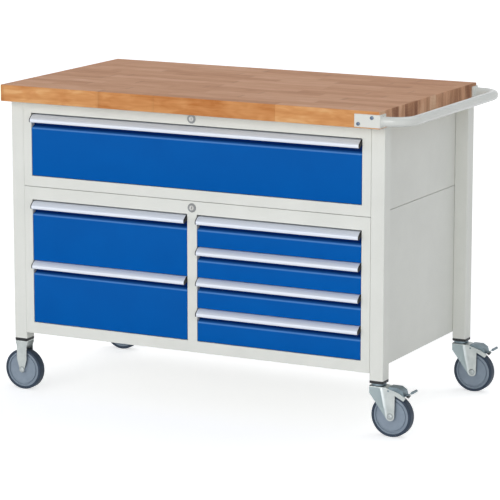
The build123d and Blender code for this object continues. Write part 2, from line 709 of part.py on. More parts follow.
def brake_pedal(x, y):
    """A foot brake: a hood over the tyre on a pin and hub, and a tongue with a rolled end."""
    low = wheel_radius + PEDAL_CLEARANCE - PEDAL_SHEET / 2
    high = low + PEDAL_SHEET
    half = FORK_GAP / 2 - FORK_CLEARANCE
    hub_radius = PEDAL_HUB_DIAMETER / 2
    middle_angle = (90 + PEDAL_HEEL_ANGLE) / 2
    pin_x, pin_z = x + pedal_pin_x, pedal_pin_z
    tip_x, tip_z = x + SWIVEL_OFFSET + PEDAL_TIP_REACH, wheel_radius + PEDAL_TIP_RISE
    hood_top = crown_top + PEDAL_HOOD_RISE
    hood_end = x + SWIVEL_OFFSET + PEDAL_HOOD_REACH
    hood = [
        (pin_x - hub_radius, pin_z),
        (pin_x, hood_top),
        (hood_end - PEDAL_HOOD_SLANT, hood_top),
        (hood_end, hood_top - PEDAL_HOOD_FALL),
        around_axle(x, high, PEDAL_HEEL_ANGLE),
        around_axle(x, low, PEDAL_HEEL_ANGLE),
        around_axle(x, low, middle_angle),
    ]
    inside = [
        (pin_x, pin_z),
        (pin_x + PEDAL_SHEET, hood_top - PEDAL_SHEET),
        (hood_end - PEDAL_HOOD_SLANT - PEDAL_SHEET / 3, hood_top - PEDAL_SHEET),
        (hood_end - PEDAL_SHEET, hood_top - PEDAL_HOOD_FALL - PEDAL_SHEET / 2),
        around_axle(x, high, PEDAL_HEEL_ANGLE + PEDAL_SHEET),
        around_axle(x, high, middle_angle),
        around_axle(x, low - PEDAL_SHEET, middle_angle),
        (pin_x + PEDAL_SHEET, pin_z - hub_radius),
    ]
    tongue = [
        around_axle(x, high, PEDAL_HEEL_ANGLE + PEDAL_SHEET),
        around_axle(x, high, PEDAL_HEEL_ANGLE),
        (tip_x, tip_z + PEDAL_SHEET / 2),
        (tip_x, tip_z - PEDAL_SHEET / 2),
        around_axle(x, low, PEDAL_HEEL_ANGLE),
        around_axle(x, low, PEDAL_HEEL_ANGLE + PEDAL_SHEET),
    ]
    cheek = half - PEDAL_SHEET
    pedal = prism_y(hood, y - half, y + half) - prism_y(inside, y - cheek, y + cheek)
    pedal += prism_y(tongue, y - half, y + half)
    pedal += rod_y(pin_x, pin_z, y - half, y + half, hub_radius)
    pedal += rod_y(tip_x, tip_z, y - half, y + half, PEDAL_ROLL_DIAMETER / 2)
    return pedal + rod_y(pin_x, pin_z, y - arm_out, y + arm_out, PEDAL_PIN_DIAMETER / 2)


left_places = {corner: leg_places[corner] for corner in ("front_left", "rear_left")}
right_places = {corner: leg_places[corner] for corner in ("front_right", "rear_right")}
save("fixed_caster_forks", *[fixed_fork(*place) for place in left_places.values()])
save("fixed_caster_axles", *[caster_axle(*place) for place in left_places.values()])
save("swivel_caster_heads", *[swivel_head(*place) for place in right_places.values()])
for corner, (x, y) in left_places.items():
    save(f"{corner}_wheel_rim", wheel_rim(x, y))
    save(f"{corner}_wheel_tyre", wheel_tyre(x, y))
for corner, (x, y) in right_places.items():
    save(f"{corner}_caster_fork", swivel_fork(x, y))
    save(f"{corner}_caster_axle", caster_axle(x + SWIVEL_OFFSET, y))
    save(f"{corner}_brake_pedal", brake_pedal(x, y))
    save(f"{corner}_wheel_rim", wheel_rim(x + SWIVEL_OFFSET, y))
    save(f"{corner}_wheel_tyre", wheel_tyre(x + SWIVEL_OFFSET, y))
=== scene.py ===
# %% [markdown]
# # A mobile workbench with drawers
# The frame brings every piece of the bench at its real size and place. This script dresses it:
# folds and edges get their small radii, each piece gets its own finish, and a plain studio is put
# round it. Blender works in metres, so a named millimetre keeps the real sizes readable.

# %% Load the frame
import math

import bmesh
import bpy
from mathutils import Matrix, Vector


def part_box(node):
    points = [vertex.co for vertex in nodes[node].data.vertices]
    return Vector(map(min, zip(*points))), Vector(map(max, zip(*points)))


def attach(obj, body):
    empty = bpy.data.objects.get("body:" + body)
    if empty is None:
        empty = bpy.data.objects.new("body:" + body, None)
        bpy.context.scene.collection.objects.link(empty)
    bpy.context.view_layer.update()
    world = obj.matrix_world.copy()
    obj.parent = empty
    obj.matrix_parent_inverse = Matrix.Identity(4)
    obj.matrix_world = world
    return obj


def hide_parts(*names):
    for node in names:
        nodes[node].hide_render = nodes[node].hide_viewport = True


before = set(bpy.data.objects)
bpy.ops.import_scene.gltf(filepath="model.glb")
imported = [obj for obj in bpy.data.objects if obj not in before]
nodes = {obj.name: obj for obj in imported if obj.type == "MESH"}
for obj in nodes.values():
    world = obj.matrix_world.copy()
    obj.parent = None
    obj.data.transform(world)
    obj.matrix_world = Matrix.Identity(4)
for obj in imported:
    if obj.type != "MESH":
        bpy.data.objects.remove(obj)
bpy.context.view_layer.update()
MM = 0.001

# %% [markdown]
# ## Camera
# The photograph was taken with a long lens from the front right, a little above the worktop.
# Edges of known length on the bench gave the camera's place, its two turns and its lens.

# %% Place the camera
CAMERA_PLACE = (3.7158, -7.1718, 2.0396)
CAMERA_YAW = 27.34
CAMERA_PITCH = 11.19
CAMERA_LENS = 195.05
SENSOR_WIDTH = 36.0
FAR_CLIP = 200.0

camera_data = bpy.data.cameras.new("photo_camera")
camera_data.sensor_width = SENSOR_WIDTH
camera_data.lens = CAMERA_LENS
camera_data.clip_end = FAR_CLIP
camera = bpy.data.objects.new("photo_camera", camera_data)
camera.location = CAMERA_PLACE
camera.rotation_euler = (math.radians(90 - CAMERA_PITCH), 0, math.radians(CAMERA_YAW))
bpy.context.scene.collection.objects.link(camera)
bpy.context.scene.camera = camera
print("camera", CAMERA_PLACE, "lens", CAMERA_LENS)

# %% [markdown]
# ## Colours and nodes
# Colours are written as the sRGB hex values of a paint chart, and one function makes them linear.
# One small function adds a shader node with its settings and links, so that a finish reads from top
# to bottom. Patterns read object coordinates, turned to millimetres, so every scale below is a real
# size.


# %% Colour and node helpers
def linear(hex_code):
    """An sRGB hex colour as linear RGBA."""
    channels = [int(hex_code[i:i + 2], 16) / 255 for i in (1, 3, 5)]
    return [c / 12.92 if c <= 0.04045 else ((c + 0.055) / 1.055) ** 2.4 for c in channels] + [1.0]


def add_node(tree, kind, inputs=None, stops=None, **settings):
    """One node: its properties, its inputs as values or sockets to link, and a ramp's colours."""
    node = tree.nodes.new(kind)
    for name, value in settings.items():
        setattr(node, name, value)
    for place, (position, colour) in enumerate(stops or []):
        elements = node.color_ramp.elements
        element = elements[place] if place < 2 else elements.new(position)
        element.position = position
        element.color = linear(colour)
    for socket, value in (inputs or {}).items():
        if isinstance(value, bpy.types.NodeSocket):
            tree.links.new(value, node.inputs[socket])
        else:
            node.inputs[socket].default_value = value
    return node


def new_finish(name, **constants):
    """A node material: its tree, its shader with constant inputs, and places in millimetres."""
    finish = bpy.data.materials.new(name)
    finish.use_nodes = True
    tree = finish.node_tree
    shader = tree.nodes["Principled BSDF"]
    for socket, value in constants.items():
        shader.inputs[socket.replace("_", " ")].default_value = value
    place = add_node(tree, "ShaderNodeTexCoord").outputs["Object"]
    in_mm = add_node(tree, "ShaderNodeVectorMath", {0: place, "Scale": 1 / MM}, operation="SCALE")
    return finish, tree, shader, in_mm.outputs[0]


print("white", linear("#FFFFFF"), "drawer blue", [round(c, 3) for c in linear("#005AAC")])

# %% [markdown]
# ## Studio
# The bench stands on a pale floor in even, soft light. Distant lamps with a wide disc are used
# instead of near softboxes, because they light both ends of a long bench alike and leave no bright
# pool on the floor for the metal to mirror. The key comes low from the front, so the drawer fronts
# get the most light and the worktop throws hardly any shadow on the rail below it. The sky is
# white at the horizon and greyer overhead, as the ceiling of a studio is, which gives bare metal
# its contrast. The camera itself always sees white.

# %% Floor
FLOOR_RADIUS = 60.0
FLOOR_SEGMENTS = 96
FLOOR_LIFT = 0.55

floor_mesh = bmesh.new()
bmesh.ops.create_circle(floor_mesh, cap_ends=True, segments=FLOOR_SEGMENTS, radius=FLOOR_RADIUS)
floor_data = bpy.data.meshes.new("studio_floor")
floor_mesh.to_mesh(floor_data)
floor_mesh.free()
floor = bpy.data.objects.new("studio_floor", floor_data)
bpy.context.scene.collection.objects.link(floor)


def seen_ray(tree):
    """1 for rays from the camera, a mirror or glass and else 0, and 1 for camera rays alone."""
    rays = add_node(tree, "ShaderNodeLightPath").outputs
    mirrored = add_node(
        tree, "ShaderNodeMath",
        {0: rays["Is Glossy Ray"], 1: rays["Is Transmission Ray"]}, operation="ADD",
    )
    seen = add_node(
        tree, "ShaderNodeMath",
        {0: rays["Is Camera Ray"], 1: mirrored.outputs[0]}, operation="ADD", use_clamp=True,
    )
    return seen.outputs[0], rays["Is Camera Ray"]


# Floor paint, matt white: it takes the bench's soft shadow and is as white as the backdrop
floor_paint, tree, shader, _ = new_finish(
    "matt_white_floor_paint", Roughness=0.9, Specular_IOR_Level=0.1
)
shader.inputs["Base Color"].default_value = linear("#E9E9E9")
shader.inputs["Emission Color"].default_value = linear("#FFFFFF")
seen, _ = seen_ray(tree)
lift = add_node(tree, "ShaderNodeMath", {0: seen, 1: FLOOR_LIFT}, operation="MULTIPLY").outputs[0]
tree.links.new(lift, shader.inputs["Emission Strength"])
floor_data.materials.append(floor_paint)
print("floor radius", FLOOR_RADIUS)

# %% World
WORLD_FILL = 0.74

world = bpy.data.worlds.new("studio_world")
world.use_nodes = True
tree = world.node_tree
background = tree.nodes["Background"]
seen, from_camera = seen_ray(tree)
direction = add_node(tree, "ShaderNodeTexCoord").outputs["Generated"]
upward = add_node(tree, "ShaderNodeSeparateXYZ", {0: direction}).outputs["Z"]
ceiling = add_node(
    tree, "ShaderNodeValToRGB", {0: upward},
    stops=[(0.0, "#FFFFFF"), (0.18, "#FFFFFF"), (0.55, "#D6D9DD"), (0.95, "#B0B4BA")],
).outputs["Color"]
backdrop = add_node(
    tree, "ShaderNodeMix",
    {"Factor": from_camera, 6: ceiling, 7: linear("#FFFFFF")}, data_type="RGBA",
).outputs[2]
tree.links.new(backdrop, background.inputs["Color"])
level = add_node(
    tree, "ShaderNodeMath", {0: seen, 1: 1 - WORLD_FILL, 2: WORLD_FILL}, operation="MULTIPLY_ADD"
).outputs[0]
tree.links.new(level, background.inputs["Strength"])
bpy.context.scene.world = world
bpy.context.scene.view_settings.view_transform = "Standard"
print("world fill", WORLD_FILL)

# %% Lamps
LAMP_DISTANCE = 12


def distant_lamp(name, azimuth, elevation, strength, spread):
    """A soft distant lamp; azimuth is counted from the bench's front towards its right end."""
    data = bpy.data.lights.new(name, "SUN")
    data.energy = strength
    data.angle = math.radians(spread)
    turn, rise = math.radians(azimuth), math.radians(elevation)
    towards = Vector(
        (math.sin(turn) * math.cos(rise), -math.cos(turn) * math.cos(rise), math.sin(rise))
    )
    lamp = bpy.data.objects.new(name, data)
    lamp.location = towards * LAMP_DISTANCE
    lamp.rotation_euler = (-towards).to_track_quat("-Z", "Y").to_euler()
    bpy.context.scene.collection.objects.link(lamp)


distant_lamp("key_front", -4, 11, 1.46, 44)
distant_lamp("fill_right", 72, 20, 0.21, 50)
distant_lamp("top_back", 160, 62, 0.50, 45)

# %% [markdown]
# ## Oiled beech
# The worktop is glued up from beech staves that run its whole thickness and are butted end to end
# in rows. A solid texture suits it: the rows, the random stave lengths and the growth rings are
# worked out in three dimensions, so the same stave shows long grain on top, a cloudy sawn edge in
# front and upright streaks at the end.

# %% Staves
STAVE_WIDTH = 44.0
STAVE_LENGTH = 300.0
STAVE_SCATTER = 0.9  # how far the lengths of the staves differ
ROW_SHIFT = 6.37  # stave lengths from one row to the next, so that no two rows look alike

# Beech, planed and oiled: warm brown with hardly any sheen, an orange edge, darker end grain
beech, tree, shader, place = new_finish("beech_staves_oiled", Specular_IOR_Level=0.12)
xyz = add_node(tree, "ShaderNodeSeparateXYZ", {0: place}).outputs
across = add_node(
    tree, "ShaderNodeMath", {0: xyz["Y"], 1: STAVE_WIDTH}, operation="DIVIDE"
).outputs[0]
row = add_node(tree, "ShaderNodeMath", {0: across}, operation="FLOOR").outputs[0]
along = add_node(
    tree, "ShaderNodeMath", {0: xyz["X"], 1: STAVE_LENGTH}, operation="DIVIDE"
).outputs[0]
run = add_node(
    tree, "ShaderNodeMath", {0: row, 1: ROW_SHIFT, 2: along}, operation="MULTIPLY_ADD"
).outputs[0]
stave = add_node(
    tree, "ShaderNodeTexVoronoi", {"W": run, "Scale": 1.0, "Randomness": STAVE_SCATTER},
    voronoi_dimensions="1D",
)
stave_end = add_node(
    tree, "ShaderNodeTexVoronoi", {"W": run, "Scale": 1.0, "Randomness": STAVE_SCATTER},
    voronoi_dimensions="1D", feature="DISTANCE_TO_EDGE",
)
chance = add_node(tree, "ShaderNodeSeparateColor", {0: stave.outputs["Color"]}).outputs
print("stave nodes", len(tree.nodes))

# %% [markdown]
# Growth rings run round the heart of the tree, so each stave gets a heart of its own somewhere
# beside it. The distance from that heart, bent a little by noise, gives faint arcs at the ends of
# the worktop and long lines on top of it.

# %% Growth rings
RING_SPACING = 9.0  # real rings are about 3 mm apart; drawn coarser so that they show
HEART_SPREAD = 160.0
HEART_LOWEST = 840.0
WAVER_LENGTH, WAVER_WIDTH, WAVER_REACH = 160, 40, 20.0

heart_y = add_node(
    tree, "ShaderNodeMath",
    {0: chance["Green"], 1: HEART_SPREAD, 2: -HEART_SPREAD / 2}, operation="MULTIPLY_ADD",
).outputs[0]
heart_z = add_node(
    tree, "ShaderNodeMath",
    {0: chance["Blue"], 1: HEART_SPREAD, 2: HEART_LOWEST}, operation="MULTIPLY_ADD",
).outputs[0]
row_middle = add_node(
    tree, "ShaderNodeMath", {0: row, 1: STAVE_WIDTH, 2: STAVE_WIDTH / 2}, operation="MULTIPLY_ADD"
).outputs[0]
heart_row = add_node(
    tree, "ShaderNodeMath", {0: row_middle, 1: heart_y}, operation="ADD"
).outputs[0]
off_y = add_node(
    tree, "ShaderNodeMath", {0: xyz["Y"], 1: heart_row}, operation="SUBTRACT"
).outputs[0]
off_z = add_node(
    tree, "ShaderNodeMath", {0: xyz["Z"], 1: heart_z}, operation="SUBTRACT"
).outputs[0]
from_heart = add_node(tree, "ShaderNodeCombineXYZ", {0: 0.0, 1: off_y, 2: off_z}).outputs[0]
radius = add_node(
    tree, "ShaderNodeVectorMath", {0: from_heart}, operation="LENGTH"
).outputs["Value"]
waver_place = add_node(
    tree, "ShaderNodeVectorMath",
    {0: place, 1: (1 / WAVER_LENGTH, 1 / WAVER_WIDTH, 1 / WAVER_WIDTH)}, operation="MULTIPLY",
).outputs[0]
waver = add_node(
    tree, "ShaderNodeTexNoise", {"Vector": waver_place, "Scale": 1.0, "Detail": 2.0}
).outputs[0]
waved = add_node(
    tree, "ShaderNodeMath", {0: waver, 1: WAVER_REACH, 2: radius}, operation="MULTIPLY_ADD"
).outputs[0]
ring_turn = add_node(
    tree, "ShaderNodeMath", {0: waved, 1: 2 * math.pi / RING_SPACING}, operation="MULTIPLY"
).outputs[0]
ring = add_node(tree, "ShaderNodeMath", {0: ring_turn}, operation="SINE").outputs[0]
print("stave and ring nodes", len(tree.nodes))

# %% [markdown]
# Four patterns at real sizes carry the figure of the wood: fibres and short dark flecks along the
# grain, soft clouds where the saw crossed the rings, and upright streaks on the sawn-off ends. Each
# is a stretched noise or cell texture, which needs no image and has no seams.

# %% Fibres, clouds, streaks and flecks
FIBRE_LENGTH, FIBRE_WIDTH = 130.0, 3.6  # real fibres are finer; drawn coarser so that they show
CLOUD_LENGTH, CLOUD_WIDTH = 80.0, 24.0
STREAK_WIDTH, STREAK_HEIGHT = 28.0, 110.0
FLECK_LENGTH, FLECK_WIDTH = 9, 1.6

fibre_place = add_node(
    tree, "ShaderNodeVectorMath",
    {0: place, 1: (1 / FIBRE_LENGTH, 1 / FIBRE_WIDTH, 1 / FIBRE_WIDTH)}, operation="MULTIPLY",
).outputs[0]
fibre = add_node(
    tree, "ShaderNodeTexNoise",
    {"Vector": fibre_place, "Scale": 1.0, "Detail": 3.0, "Roughness": 0.6},
).outputs[0]
cloud_place = add_node(
    tree, "ShaderNodeVectorMath",
    {0: place, 1: (1 / CLOUD_LENGTH, 1 / CLOUD_WIDTH, 1 / CLOUD_WIDTH)}, operation="MULTIPLY",
).outputs[0]
cloud = add_node(
    tree, "ShaderNodeTexNoise",
    {"Vector": cloud_place, "Scale": 1.0, "Detail": 2.0, "Distortion": 0.6},
).outputs[0]
streak_place = add_node(
    tree, "ShaderNodeVectorMath",
    {0: place, 1: (1 / STAVE_LENGTH, 1 / STREAK_WIDTH, 1 / STREAK_HEIGHT)}, operation="MULTIPLY",
).outputs[0]
streak = add_node(
    tree, "ShaderNodeTexNoise",
    {"Vector": streak_place, "Scale": 1.0, "Detail": 2.0, "Distortion": 0.3},
).outputs[0]
fleck_place = add_node(
    tree, "ShaderNodeVectorMath",
    {0: place, 1: (1 / FLECK_LENGTH, 1 / FLECK_WIDTH, 1 / FLECK_WIDTH)}, operation="MULTIPLY",
).outputs[0]
fleck = add_node(
    tree, "ShaderNodeTexVoronoi", {"Vector": fleck_place, "Scale": 1.0}
).outputs["Distance"]
fleck_dark = add_node(
    tree, "ShaderNodeMapRange",
    {"Value": fleck, "From Min": 0.12, "From Max": 0.3, "To Min": 0.92, "To Max": 1.0},
).outputs[0]
print("with pattern nodes", len(tree.nodes))

# %% [markdown]
# A stave looks different from its three sides: planed on top, sawn along the edge and cut across
# at the end. Three colour ramps read the same patterns in different shares, and the direction that
# a face looks in picks the ramp, so no part of the wood needs a finish of its own.

# %% Planed top, sawn edge and end grain
MIDDLE_TONE = 0.5
by_stave = chance["Red"]


def tone_of(*parts):
    """The middle tone with a share of each pattern; each comes with the value it varies about."""
    tone = MIDDLE_TONE - sum(share * middle for _, share, middle in parts)
    for pattern, share, _ in parts:
        tone = add_node(
            tree, "ShaderNodeMath", {0: pattern, 1: share, 2: tone}, operation="MULTIPLY_ADD"
        ).outputs[0]
    return tone


planed = add_node(
    tree, "ShaderNodeValToRGB",
    {0: tone_of((by_stave, 0.5, 0.5), (fibre, 0.9, 0.5), (cloud, 0.7, 0.5), (ring, 0.04, 0.0))},
    stops=[(0.0, "#B58262"), (0.35, "#C79573"), (0.7, "#D2A282"), (1.0, "#DDB295")],
).outputs["Color"]
sawn = add_node(
    tree, "ShaderNodeValToRGB",
    {0: tone_of((by_stave, 0.4, 0.5), (cloud, 1.5, 0.5), (fibre, 0.4, 0.5), (ring, 0.03, 0.0))},
    stops=[(0.0, "#B9733C"), (0.4, "#CB8B54"), (0.7, "#D69A62"), (1.0, "#E4B27C")],
).outputs["Color"]
end_grain = add_node(
    tree, "ShaderNodeValToRGB",
    {0: tone_of((by_stave, 0.75, 0.5), (streak, 1.3, 0.5), (fibre, 0.3, 0.5), (ring, 0.03, 0.0))},
    stops=[(0.0, "#8A5D45"), (0.35, "#B18363"), (0.65, "#C99A7A"), (1.0, "#DDB797")],
).outputs["Color"]
normal = add_node(tree, "ShaderNodeTexCoord").outputs["Normal"]
facing = add_node(tree, "ShaderNodeVectorMath", {0: normal}, operation="ABSOLUTE").outputs[0]
facing = add_node(tree, "ShaderNodeSeparateXYZ", {0: facing}).outputs
wood = add_node(
    tree, "ShaderNodeMix", {"Factor": facing["Y"], 6: planed, 7: sawn}, data_type="RGBA"
).outputs[2]
wood = add_node(
    tree, "ShaderNodeMix", {"Factor": facing["X"], 6: wood, 7: end_grain}, data_type="RGBA"
).outputs[2]
print("with figure nodes", len(tree.nodes))

# %% [markdown]
# The underside never had its oil. Raw beech is paler, and it throws a little light on the rail and
# on the top grip, which would otherwise turn brown.

# %% Raw underside
FULLY_UNDER, NOT_UNDER = -0.9, -0.6  # the upward share of a face's direction

raw = add_node(
    tree, "ShaderNodeValToRGB", {0: tone_of((by_stave, 0.5, 0.5), (fibre, 0.9, 0.5))},
    stops=[(0.0, "#D8C1A8"), (1.0, "#EADBC8")],
).outputs["Color"]
upward = add_node(tree, "ShaderNodeSeparateXYZ", {0: normal}).outputs["Z"]
under = add_node(
    tree, "ShaderNodeMapRange",
    {"Value": upward, "From Min": FULLY_UNDER, "From Max": NOT_UNDER, "To Min": 1.0, "To Max": 0.0},
).outputs[0]
wood = add_node(
    tree, "ShaderNodeMix", {"Factor": under, 6: wood, 7: raw}, data_type="RGBA"
).outputs[2]
print("with underside nodes", len(tree.nodes))

# %% [markdown]
# The glue lines are hair-thin and dark. At some of the butted ends the saw has scorched the wood,
# which leaves a short dark patch at the joint. On the front edge the joints are tight and show
# half as much.

# %% Glue lines and scorched ends
GLUE_LINE, GLUE_SHADE = 0.9, 0.8
BURNT_FROM, BURNT_END = 2.0, 11.0
BURNT_SHADE = 0.14
UNBURNT_SHARE = 0.72
TIGHT_JOINT = 0.5

row_gap = add_node(tree, "ShaderNodeMath", {0: across, 1: 0.5}, operation="PINGPONG").outputs[0]
row_gap = add_node(
    tree, "ShaderNodeMath", {0: row_gap, 1: STAVE_WIDTH}, operation="MULTIPLY"
).outputs[0]
end_gap = add_node(
    tree, "ShaderNodeMath",
    {0: stave_end.outputs["Distance"], 1: STAVE_LENGTH}, operation="MULTIPLY",
).outputs[0]
nearest = add_node(
    tree, "ShaderNodeMath", {0: row_gap, 1: end_gap}, operation="MINIMUM"
).outputs[0]
glue = add_node(
    tree, "ShaderNodeMapRange",
    {"Value": nearest, "From Min": 0.0, "From Max": GLUE_LINE, "To Min": GLUE_SHADE, "To Max": 1.0},
).outputs[0]
scorched = add_node(
    tree, "ShaderNodeMath", {0: chance["Blue"], 1: UNBURNT_SHARE}, operation="GREATER_THAN"
).outputs[0]
scorch = add_node(
    tree, "ShaderNodeMapRange",
    {
        "Value": end_gap, "From Min": BURNT_FROM, "From Max": BURNT_END,
        "To Min": BURNT_SHADE, "To Max": 0.0,
    },
).outputs[0]
scorch = add_node(
    tree, "ShaderNodeMath", {0: scorch, 1: scorched}, operation="MULTIPLY"
).outputs[0]
unburnt = add_node(tree, "ShaderNodeMath", {0: 1.0, 1: scorch}, operation="SUBTRACT").outputs[0]
dark = add_node(tree, "ShaderNodeMath", {0: glue, 1: fleck_dark}, operation="MULTIPLY").outputs[0]
darker = add_node(tree, "ShaderNodeMath", {0: dark, 1: unburnt}, operation="MULTIPLY").outputs[0]
tight = add_node(
    tree, "ShaderNodeMapRange", {"Value": facing["Y"], "To Min": 0.0, "To Max": TIGHT_JOINT}
).outputs[0]
darker = add_node(tree, "ShaderNodeMix", {"Factor": tight, 2: darker, 3: 1.0}).outputs[0]
wood = add_node(
    tree, "ShaderNodeVectorMath", {0: wood, "Scale": darker}, operation="SCALE"
).outputs[0]
tree.links.new(wood, shader.inputs["Base Color"])
print("with joint nodes", len(tree.nodes))

# %% [markdown]
# Oil leaves the wood satin. The gloss follows the fibres, and a weak bump lets them stand out a
# little and the glue lines and flecks lie a little lower.

# %% Gloss and relief of the wood
FIBRE_RELIEF = 0.3

rough = add_node(
    tree, "ShaderNodeMapRange", {"Value": fibre, "To Min": 0.52, "To Max": 0.74}
).outputs[0]
tree.links.new(rough, shader.inputs["Roughness"])
relief = add_node(
    tree, "ShaderNodeMath", {0: fibre, 1: FIBRE_RELIEF, 2: dark}, operation="MULTIPLY_ADD"
).outputs[0]
bump = add_node(
    tree, "ShaderNodeBump", {"Height": relief, "Strength": 0.25, "Distance": 0.15 * MM}
).outputs[0]
tree.links.new(bump, shader.inputs["Normal"])
print("beech nodes", len(tree.nodes))

# %% [markdown]
# ## Powder coat
# The steel is powder coated: thick baked paint with a faint orange-peel skin. The skin is a bump of
# about two millimetres from crest to crest, and the colour barely varies, so both stay weak. On the
# drawer fronts the finger groove is darkened with a painted shade, and the fold below it is
# lightened with a painted highlight. Two attributes on the mesh say how much painted shade and how
# much painted highlight a point gets; where a piece has none, they read as nought.

# %% Powder coats
DRIFT_SIZE, GRIT_SIZE, PEEL_SIZE = 140, 3.0, 2.2
GRIT_SHARE = 0.4
GLOSS_DRIFT = 0.06


def tinted(tree, colour, painted_shade, painted_highlight):
    """A colour that turns to a painted shade where the mesh marks shade,
    and to a painted highlight where it marks a highlight.
    """
    for attribute, tint in (("painted_shade", painted_shade), ("painted_highlight", painted_highlight)):
        if tint:
            share = add_node(tree, "ShaderNodeAttribute", attribute_name=attribute).outputs["Fac"]
            colour = add_node(
                tree, "ShaderNodeMix",
                {"Factor": share, 6: colour, 7: linear(tint)}, data_type="RGBA",
            ).outputs[2]
    return colour


def powder_coat(name, colour, shade, rough, sheen, painted_shade=None, painted_highlight=None):
    """Baked powder on steel: one colour with a faint darker drift, and an orange-peel skin."""
    finish, tree, shader, place = new_finish(name, Specular_IOR_Level=sheen)
    drift = add_node(
        tree, "ShaderNodeTexNoise",
        {"Vector": place, "Scale": 1 / DRIFT_SIZE, "Detail": 3.0, "Roughness": 0.6},
    ).outputs[0]
    grit = add_node(
        tree, "ShaderNodeTexNoise", {"Vector": place, "Scale": 1 / GRIT_SIZE, "Detail": 2.0}
    ).outputs[0]
    blend = add_node(
        tree, "ShaderNodeMath", {0: grit, 1: GRIT_SHARE, 2: drift}, operation="MULTIPLY_ADD"
    ).outputs[0]
    paint = add_node(
        tree, "ShaderNodeValToRGB", {0: blend}, stops=[(0.35, shade), (0.95, colour)]
    ).outputs["Color"]
    tree.links.new(tinted(tree, paint, painted_shade, painted_highlight), shader.inputs["Base Color"])
    gloss = add_node(
        tree, "ShaderNodeMapRange",
        {"Value": drift, "To Min": rough - GLOSS_DRIFT, "To Max": rough + GLOSS_DRIFT},
    ).outputs[0]
    tree.links.new(gloss, shader.inputs["Roughness"])
    skin = add_node(
        tree, "ShaderNodeTexNoise", {"Vector": place, "Scale": 1 / PEEL_SIZE, "Detail": 1.0}
    ).outputs[0]
    bump = add_node(
        tree, "ShaderNodeBump", {"Height": skin, "Strength": 0.12, "Distance": 0.08 * MM}
    ).outputs[0]
    tree.links.new(bump, shader.inputs["Normal"])
    return finish


# Steel, folded and powder coated: smooth and satin, light grey on the frame, blue on the drawers
grey_coat = powder_coat("light_grey_powder_coat", "#E3E4DE", "#DADBD5", 0.5, 0.25)
# The navy is painted shade in the finger groove, the pale blue a painted highlight on the fold
blue_coat = powder_coat(
    "blue_powder_coat", "#005AAC", "#0054A4", 0.55, 0.03, painted_shade="#002A6B", painted_highlight="#5A91D3"
)
# Steel tube, powder coated glossier: the bends of the handle catch a highlight
handle_coat = powder_coat("pale_grey_gloss_powder_coat", "#D7D9D4", "#CDCFCA", 0.18, 0.6)
print("coats", grey_coat.name, blue_coat.name, handle_coat.name)

# %% [markdown]
# ## Bare metals
# The grips are extruded and anodised aluminium: the die leaves fine lines along the strip, and the
# anodising makes the metal a soft silver. The other metals are plated, and a plated surface is told
# by its colour and by how sharply it mirrors, so one function makes them: the forks and runners are
# zinc, the axles a duller zinc, the pedals and swivel heads a bluer one that a painted shade
# darkens, the screws a darker one, the lock barrels pale nickel, and the rings round the locks dark
# nickel.

# %% Anodised aluminium
DIE_LINE = 0.7
DIE_RUN = 600
GRIP_METALLIC = 0.5  # the anodised skin scatters about half of the light

# Aluminium, extruded and anodised: silver, satin along the strip and darker in the die lines
grip_metal, tree, shader, place = new_finish("anodised_extruded_aluminium", Metallic=GRIP_METALLIC)
line_place = add_node(
    tree, "ShaderNodeVectorMath",
    {0: place, 1: (1 / DIE_RUN, 1 / DIE_LINE, 1 / DIE_LINE)}, operation="MULTIPLY",
).outputs[0]
lines = add_node(
    tree, "ShaderNodeTexNoise", {"Vector": line_place, "Scale": 1.0, "Detail": 2.0}
).outputs[0]
silver = add_node(
    tree, "ShaderNodeValToRGB", {0: lines}, stops=[(0.3, "#D4DBE6"), (0.7, "#E2E5EC")]
).outputs["Color"]
tree.links.new(silver, shader.inputs["Base Color"])
satin = add_node(
    tree, "ShaderNodeMapRange", {"Value": lines, "To Min": 0.52, "To Max": 0.64}
).outputs[0]
tree.links.new(satin, shader.inputs["Roughness"])
bump = add_node(
    tree, "ShaderNodeBump", {"Height": lines, "Strength": 0.1, "Distance": 0.05 * MM}
).outputs[0]
tree.links.new(bump, shader.inputs["Normal"])
print("aluminium", grip_metal.name)

# %% Plated metals
PLATE_GRAIN = 1.5
MIRROR_DRIFT = 0.07


def plated(name, shade, colour, cloud_size, rough, painted_shade=None, painted_highlight=None):
    """Plated metal: a colour that clouds over a real size, and a mirror duller in the clouds."""
    finish, tree, shader, place = new_finish(name, Metallic=1.0)
    cloud = add_node(
        tree, "ShaderNodeTexNoise",
        {"Vector": place, "Scale": 1 / cloud_size, "Detail": 3.0, "Roughness": 0.55},
    ).outputs[0]
    plate = add_node(
        tree, "ShaderNodeValToRGB", {0: cloud}, stops=[(0.3, shade), (0.7, colour)]
    ).outputs["Color"]
    tree.links.new(tinted(tree, plate, painted_shade, painted_highlight), shader.inputs["Base Color"])
    mirror = add_node(
        tree, "ShaderNodeMapRange",
        {"Value": cloud, "To Min": rough + MIRROR_DRIFT, "To Max": rough - MIRROR_DRIFT},
    ).outputs[0]
    tree.links.new(mirror, shader.inputs["Roughness"])
    grain = add_node(
        tree, "ShaderNodeTexNoise", {"Vector": place, "Scale": 1 / PLATE_GRAIN, "Detail": 2.0}
    ).outputs[0]
    bump = add_node(
        tree, "ShaderNodeBump", {"Height": grain, "Strength": 0.08, "Distance": 0.05 * MM}
    ).outputs[0]
    tree.links.new(bump, shader.inputs["Normal"])
    return finish


# Steel, pressed and zinc plated: pale grey, soft and a little cloudy
# The darker grey is painted shade on the leading face of a swivel fork's arm, the paler grey a
# painted highlight along its crest
zinc = plated(
    "zinc_plated_pressed_steel", "#A8AEAD", "#B8BDBB", 24.0, 0.36, painted_shade="#98A4A6", painted_highlight="#C6CDCE"
)
